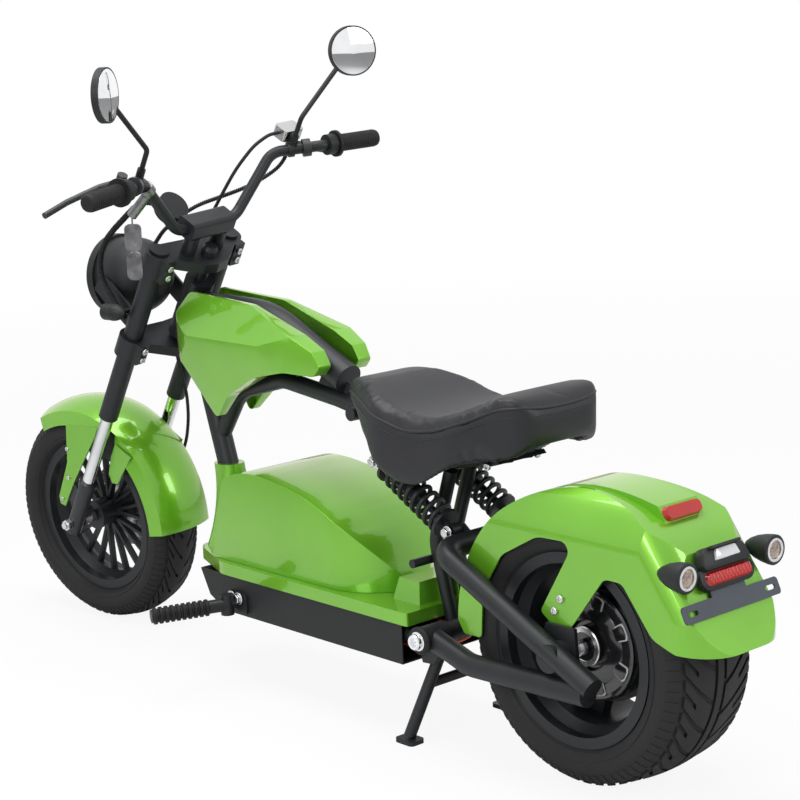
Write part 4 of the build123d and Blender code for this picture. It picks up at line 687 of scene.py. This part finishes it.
def stadium(length, height, middle):
    """The outline of a slot with round ends, along X."""
    radius = height / 2
    centre = length / 2 - radius
    turns = [pi * step / 8 for step in range(9)]
    right = [(centre + radius * sin(turn), middle - radius * cos(turn)) for turn in turns]
    return right + [(-x, 2 * middle - y) for x, y in right]


hood_outline = [(-40, -46), (40, -46), (50, -38), (58, -16), (52, -10), (-52, -10), (-58, -16), (-50, -38)]
for name, outline, low, high, bevel, finish, slot in (
    ("lamp_surround", stadium(130, 38, 2), 0.5, 15, 2.5, box_black, "box_black"),
    ("lamp_hood", hood_outline, 0.5, 24, 5, box_black, "box_black"),
    ("plate_lamp", [(-24, -40), (24, -40), (30, -22), (-30, -22)], 22, 29, 2.5, clear_lens, "clear_lens"),
    ("plate_lamp_lid", [(-34, -46), (34, -46), (36, -41), (-36, -41)], 20, 33, 1.2, box_black, "box_black"),
):
    piece = cut_plate(name, [(x, y, low) for x, y in outline], (0, 0, high - low), bevel)
    settle(piece, LAMP)
    dress(piece, finish, "chassis")

RIB_PITCH = 8
ribs = [cut_plate("rib", [(x, y, 18) for x, y in ((middle - 1, -5), (middle + 1, -5), (middle + 1, 11),
                                                  (middle - 1, 11))], (0, 0, 3.8), 0.4)
        for middle in range(-6 * RIB_PITCH, 7 * RIB_PITCH, RIB_PITCH)]
lens_ribs = joined("red_lens_ribs", ribs)
settle(lens_ribs, LAMP)
dress(lens_ribs, red_lens, "chassis")

INDICATOR_PLACES = [(-260, left, 416) for left in (108, -108)]
AXIS = 0.01  # a profile's points on its axis stay this far out, so that the turned ends keep their faces
body_profile = [(AXIS, -56), (7, -54), (13, -46), (19, -33), (23, -18), (25, -4), (25, 1), (23.5, 3), (20, 3),
                (20, -2), (AXIS, -2), (AXIS, -56)]
ring_profile = [(15, -2), (15, 2.6), (16, 3.8), (19, 3.8), (20.4, 2.2), (20.4, -2), (15, -2)]
lens_profile = [(AXIS, 4.2), (5, 3.8), (10, 2.6), (15, 0.6), (15, -1.8), (AXIS, -1.8), (AXIS, 4.2)]
for name, profile, finish, slot in (("rear_indicator_bodies", body_profile, box_black, "box_black"),
                                    ("rear_indicator_rings", ring_profile, steel, "bare_steel"),
                                    ("rear_indicator_lenses", lens_profile, smoked_lens, "clear_lens")):
    model = lathed(name + "_model", profile, 48)
    pair = [copied(model, CHASSIS @ Matrix.Translation(place) @ Matrix.Rotation(pi / 2, 4, "Z"))
            for place in INDICATOR_PLACES]
    dress(joined(name, pair), finish, "chassis")
    discard(model)
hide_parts("rear_indicators")

# ---------------------------------------------------------------- cables

STEPS_PER_TURN = 8


def smooth_route(name, points, place, radius):
    """A round cable whose route's points control its curve, and the points of its middle line."""
    line, spline = line_object(name, "NURBS", [place @ Vector(point) for point in points])
    spline.order_u = 3
    spline.use_endpoint_u = True
    spline.resolution_u = 10
    bpy.context.view_layer.update()
    middle = [vertex.co.copy() for vertex in bpy.data.meshes.new_from_object(line).vertices]
    line.data.use_fill_caps = True
    return thickened(line, radius, 4), middle


def spiral_wrap(name, middle, radius, wire, pitch):
    """A strip wound round a cable, along the points of its middle line."""
    turn, strip = 0.0, []
    up = Vector((0, 0, 1))
    for start, end in zip(middle, middle[1:]):
        along = end - start
        pieces = max(1, int(along.length / pitch * STEPS_PER_TURN))
        across = along.cross(up).normalized()
        rise = across.cross(along).normalized()
        for step in range(pieces):
            strip.append(start + along * step / pieces + (across * cos(turn) + rise * sin(turn)) * radius)
            turn += 2 * pi * along.length / pieces / pitch
    return thickened(line_object(name, "POLY", strip)[0], wire, 1)


left_route = [(59.4, 134.6, 818), (84, 135.9, 808.6), (100, 140, 780), (120, 136, 740), (144, 126, 700),
              (170, 113, 648), (174, 106, 596), (156, 100, 558), (122, 95, 537), (93, 94, 521), (78, 94, 521)]
throttle_route = [(68, -232, 871.7), (68, -232, 838), (74, -206, 808), (82, -160, 782), (92, -100, 764),
                  (102, -44, 748), (114, -10, 712), (128, 0, 678), (135.3, 0, 650.7), (142.5, 0, 621.9)]
left_cable, left_middle = smooth_route("left_wrapped_cable", left_route, STEERING, 0.0048)
throttle_cable, throttle_middle = smooth_route("throttle_cable", throttle_route, STEERING, 0.0036)
for cable in (left_cable, throttle_cable):
    dress(cable, grip_rubber, "fork", 60)
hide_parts("control_cables")
for name, middle, radius, wire, pitch in (("left_cable_wrap", left_middle, 0.0053, 0.0012, 0.0052),
                                          ("throttle_cable_wrap", throttle_middle, 0.0039, 0.0009, 0.0045)):
    dress(spiral_wrap(name, middle, radius, wire, pitch), grip_rubber, "fork", 60)

tie = lathed("tie", [(4.6, -2), (6.2, -2), (6.4, 0), (6.2, 2), (4.6, 2), (4.6, -2)], 20)
ties = [copied(tie, CHASSIS @ Matrix.Translation(place) @ Matrix.Rotation(turn, 4, "Z"))
        for place, turn in (((500, 61, 166.5), radians(75)), ((458, 69.5, 167), radians(70)))]
dress(joined("cable_ties", ties), box_black, "chassis")
discard(tie)

# ---------------------------------------------------------------- painted shells

FLAT_WITHIN = radians(1.2)
EDGE_FROM = radians(18)


def moulded_shell(node, body, edge):
    """A painted panel with the soft edges of a moulding: the solid's skin, merged, with rounded edges."""
    shell = skin_of(node, node + "_moulding")
    bpy.ops.object.mode_set(mode="EDIT")
    bpy.ops.mesh.select_all(action="SELECT")
    bpy.ops.mesh.dissolve_limited(angle_limit=FLAT_WITHIN)
    bpy.ops.object.mode_set(mode="OBJECT")
    round_edges(shell, edge, 4, angle_limit=EDGE_FROM)
    bpy.ops.object.mode_set(mode="EDIT")
    bpy.ops.mesh.select_all(action="SELECT")
    bpy.ops.mesh.quads_convert_to_tris()
    bpy.ops.object.mode_set(mode="OBJECT")
    dress(shell, green_paint, body, 50)
    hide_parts(node)


moulded_shell("battery_cover", "cover_body", 0.009)
moulded_shell("left_side_panel", "chassis", 0.008)
moulded_shell("right_side_panel", "chassis", 0.008)

# ---------------------------------------------------------------- mirror faces: convex, over the flat glass

MIRROR_TURNS = ((1, radians(33)), (-1, radians(18)))
face = lathed("face", [(0, 0.05), (46.6, 0.05)] + arc((46.6, 0.4), (24, 3.2), (0, 4.1), 12), 64)
faces = []
for left, turn in MIRROR_TURNS:
    centre = STEERING @ Vector((66, left * 330, 1086))
    looks = facing((-cos(turn), -left * sin(turn), 0))
    faces.append(copied(face, Matrix.Translation(centre) @ looks @ Y_TO_Z @ SCALE))
dress(joined("mirror_faces", faces), mirror_glass, "fork", 40)
discard(face)

# ---------------------------------------------------------------- camera, floor and light

CAMERA_PLACE = Vector((-2.97582, 2.49503, 1.31966))
CAMERA_LOOK = Vector((0.7292, -0.6566, -0.1925)).normalized()
CAMERA_SIDE = Vector((-0.669, -0.743, 0)).normalized()
CAMERA_ROLL = radians(-2.33)
SENSOR_WIDTH = 36
FOCAL_LENGTH = 94.3

upright = CAMERA_SIDE.cross(CAMERA_LOOK).normalized()
across = CAMERA_SIDE * cos(CAMERA_ROLL) + upright * sin(CAMERA_ROLL)
rising = across.cross(CAMERA_LOOK).normalized()
bpy.ops.object.camera_add(location=CAMERA_PLACE)
camera = bpy.context.object
camera.rotation_mode = "QUATERNION"
camera.rotation_quaternion = Matrix((across, rising, -CAMERA_LOOK)).transposed().to_quaternion()
camera.data.sensor_width = SENSOR_WIDTH
camera.data.lens = FOCAL_LENGTH
bpy.context.scene.camera = camera


def add_node(tree, kind, operation=None, **values):
    """A node with its operation and the values of its inputs, whose names have _ for a space."""
    node = tree.nodes.new("ShaderNode" + kind)
    if operation:
        node.operation = operation
    for label, value in values.items():
        node.inputs[label.replace("_", " ")].default_value = value
    return node


# The camera sees a near-white floor that keeps the object's shadow and fades to white with distance.
FLOOR_SIZE = 40
bpy.ops.mesh.primitive_plane_add(size=FLOOR_SIZE, location=(0, 0, 0))
floor = bpy.context.object
floor.name = "studio_floor"
paper, tree, shader = node_tree("white paper floor")
shader.inputs["Base Color"].default_value = (0.9, 0.9, 0.9, 1)
shader.inputs["Roughness"].default_value = 0.9
glow = add_node(tree, "Emission", Strength=1.0)
rays = add_node(tree, "LightPath")
place = add_node(tree, "TexCoord")
distance = add_node(tree, "VectorMath", "LENGTH")
fade = add_node(tree, "MapRange", From_Min=1.5, From_Max=6.0, To_Min=0.9, To_Max=1.0)
seen = add_node(tree, "Math", "MULTIPLY")
blend = add_node(tree, "MixShader")
for source, target in ((place.outputs["Object"], distance.inputs[0]),
                       (distance.outputs["Value"], fade.inputs["Value"]),
                       (rays.outputs["Is Camera Ray"], seen.inputs[0]),
                       (fade.outputs["Result"], seen.inputs[1]),
                       (seen.outputs["Value"], blend.inputs["Fac"]),
                       (shader.outputs["BSDF"], blend.inputs[1]),
                       (glow.outputs["Emission"], blend.inputs[2]),
                       (blend.outputs["Shader"], tree.nodes["Material Output"].inputs["Surface"])):
    tree.links.new(source, target)
floor.data.materials.append(paper)

# The world lights the object softly, and is white where the camera or a reflection meets it.
world = bpy.data.worlds.new("studio")
bpy.context.scene.world = world
world.use_nodes = True
tree = world.node_tree
sky = tree.nodes["Background"]
sky.inputs["Color"].default_value = (1, 1, 1, 1)
rays = add_node(tree, "LightPath")
level = add_node(tree, "MapRange", To_Min=0.28, To_Max=1.0)
seen = add_node(tree, "Math", "MAXIMUM")
for source, target in ((rays.outputs["Is Camera Ray"], seen.inputs[0]),
                       (rays.outputs["Is Glossy Ray"], seen.inputs[1]),
                       (seen.outputs["Value"], level.inputs["Value"]),
                       (level.outputs["Result"], sky.inputs["Strength"])):
    tree.links.new(source, target)

LIGHTS_AIM = Vector((0, 0, 0.5))
for name, place, size, power in (
    ("overhead light", (0.2, 0.4, 3.6), 2.6, 100),
    ("left light", (-1.2, 3.4, 2.2), 1.4, 50),
    ("rear light", (-3.6, -1.2, 2.2), 1.6, 40),
):
    bpy.ops.object.light_add(type="AREA", location=place)
    lamp = bpy.context.object
    lamp.name = name
    lamp.data.size = size
    lamp.data.energy = power
    lamp.rotation_mode = "QUATERNION"
    lamp.rotation_quaternion = (LIGHTS_AIM - Vector(place)).to_track_quat("-Z", "Y")

bpy.context.scene.view_settings.view_transform = "Standard"
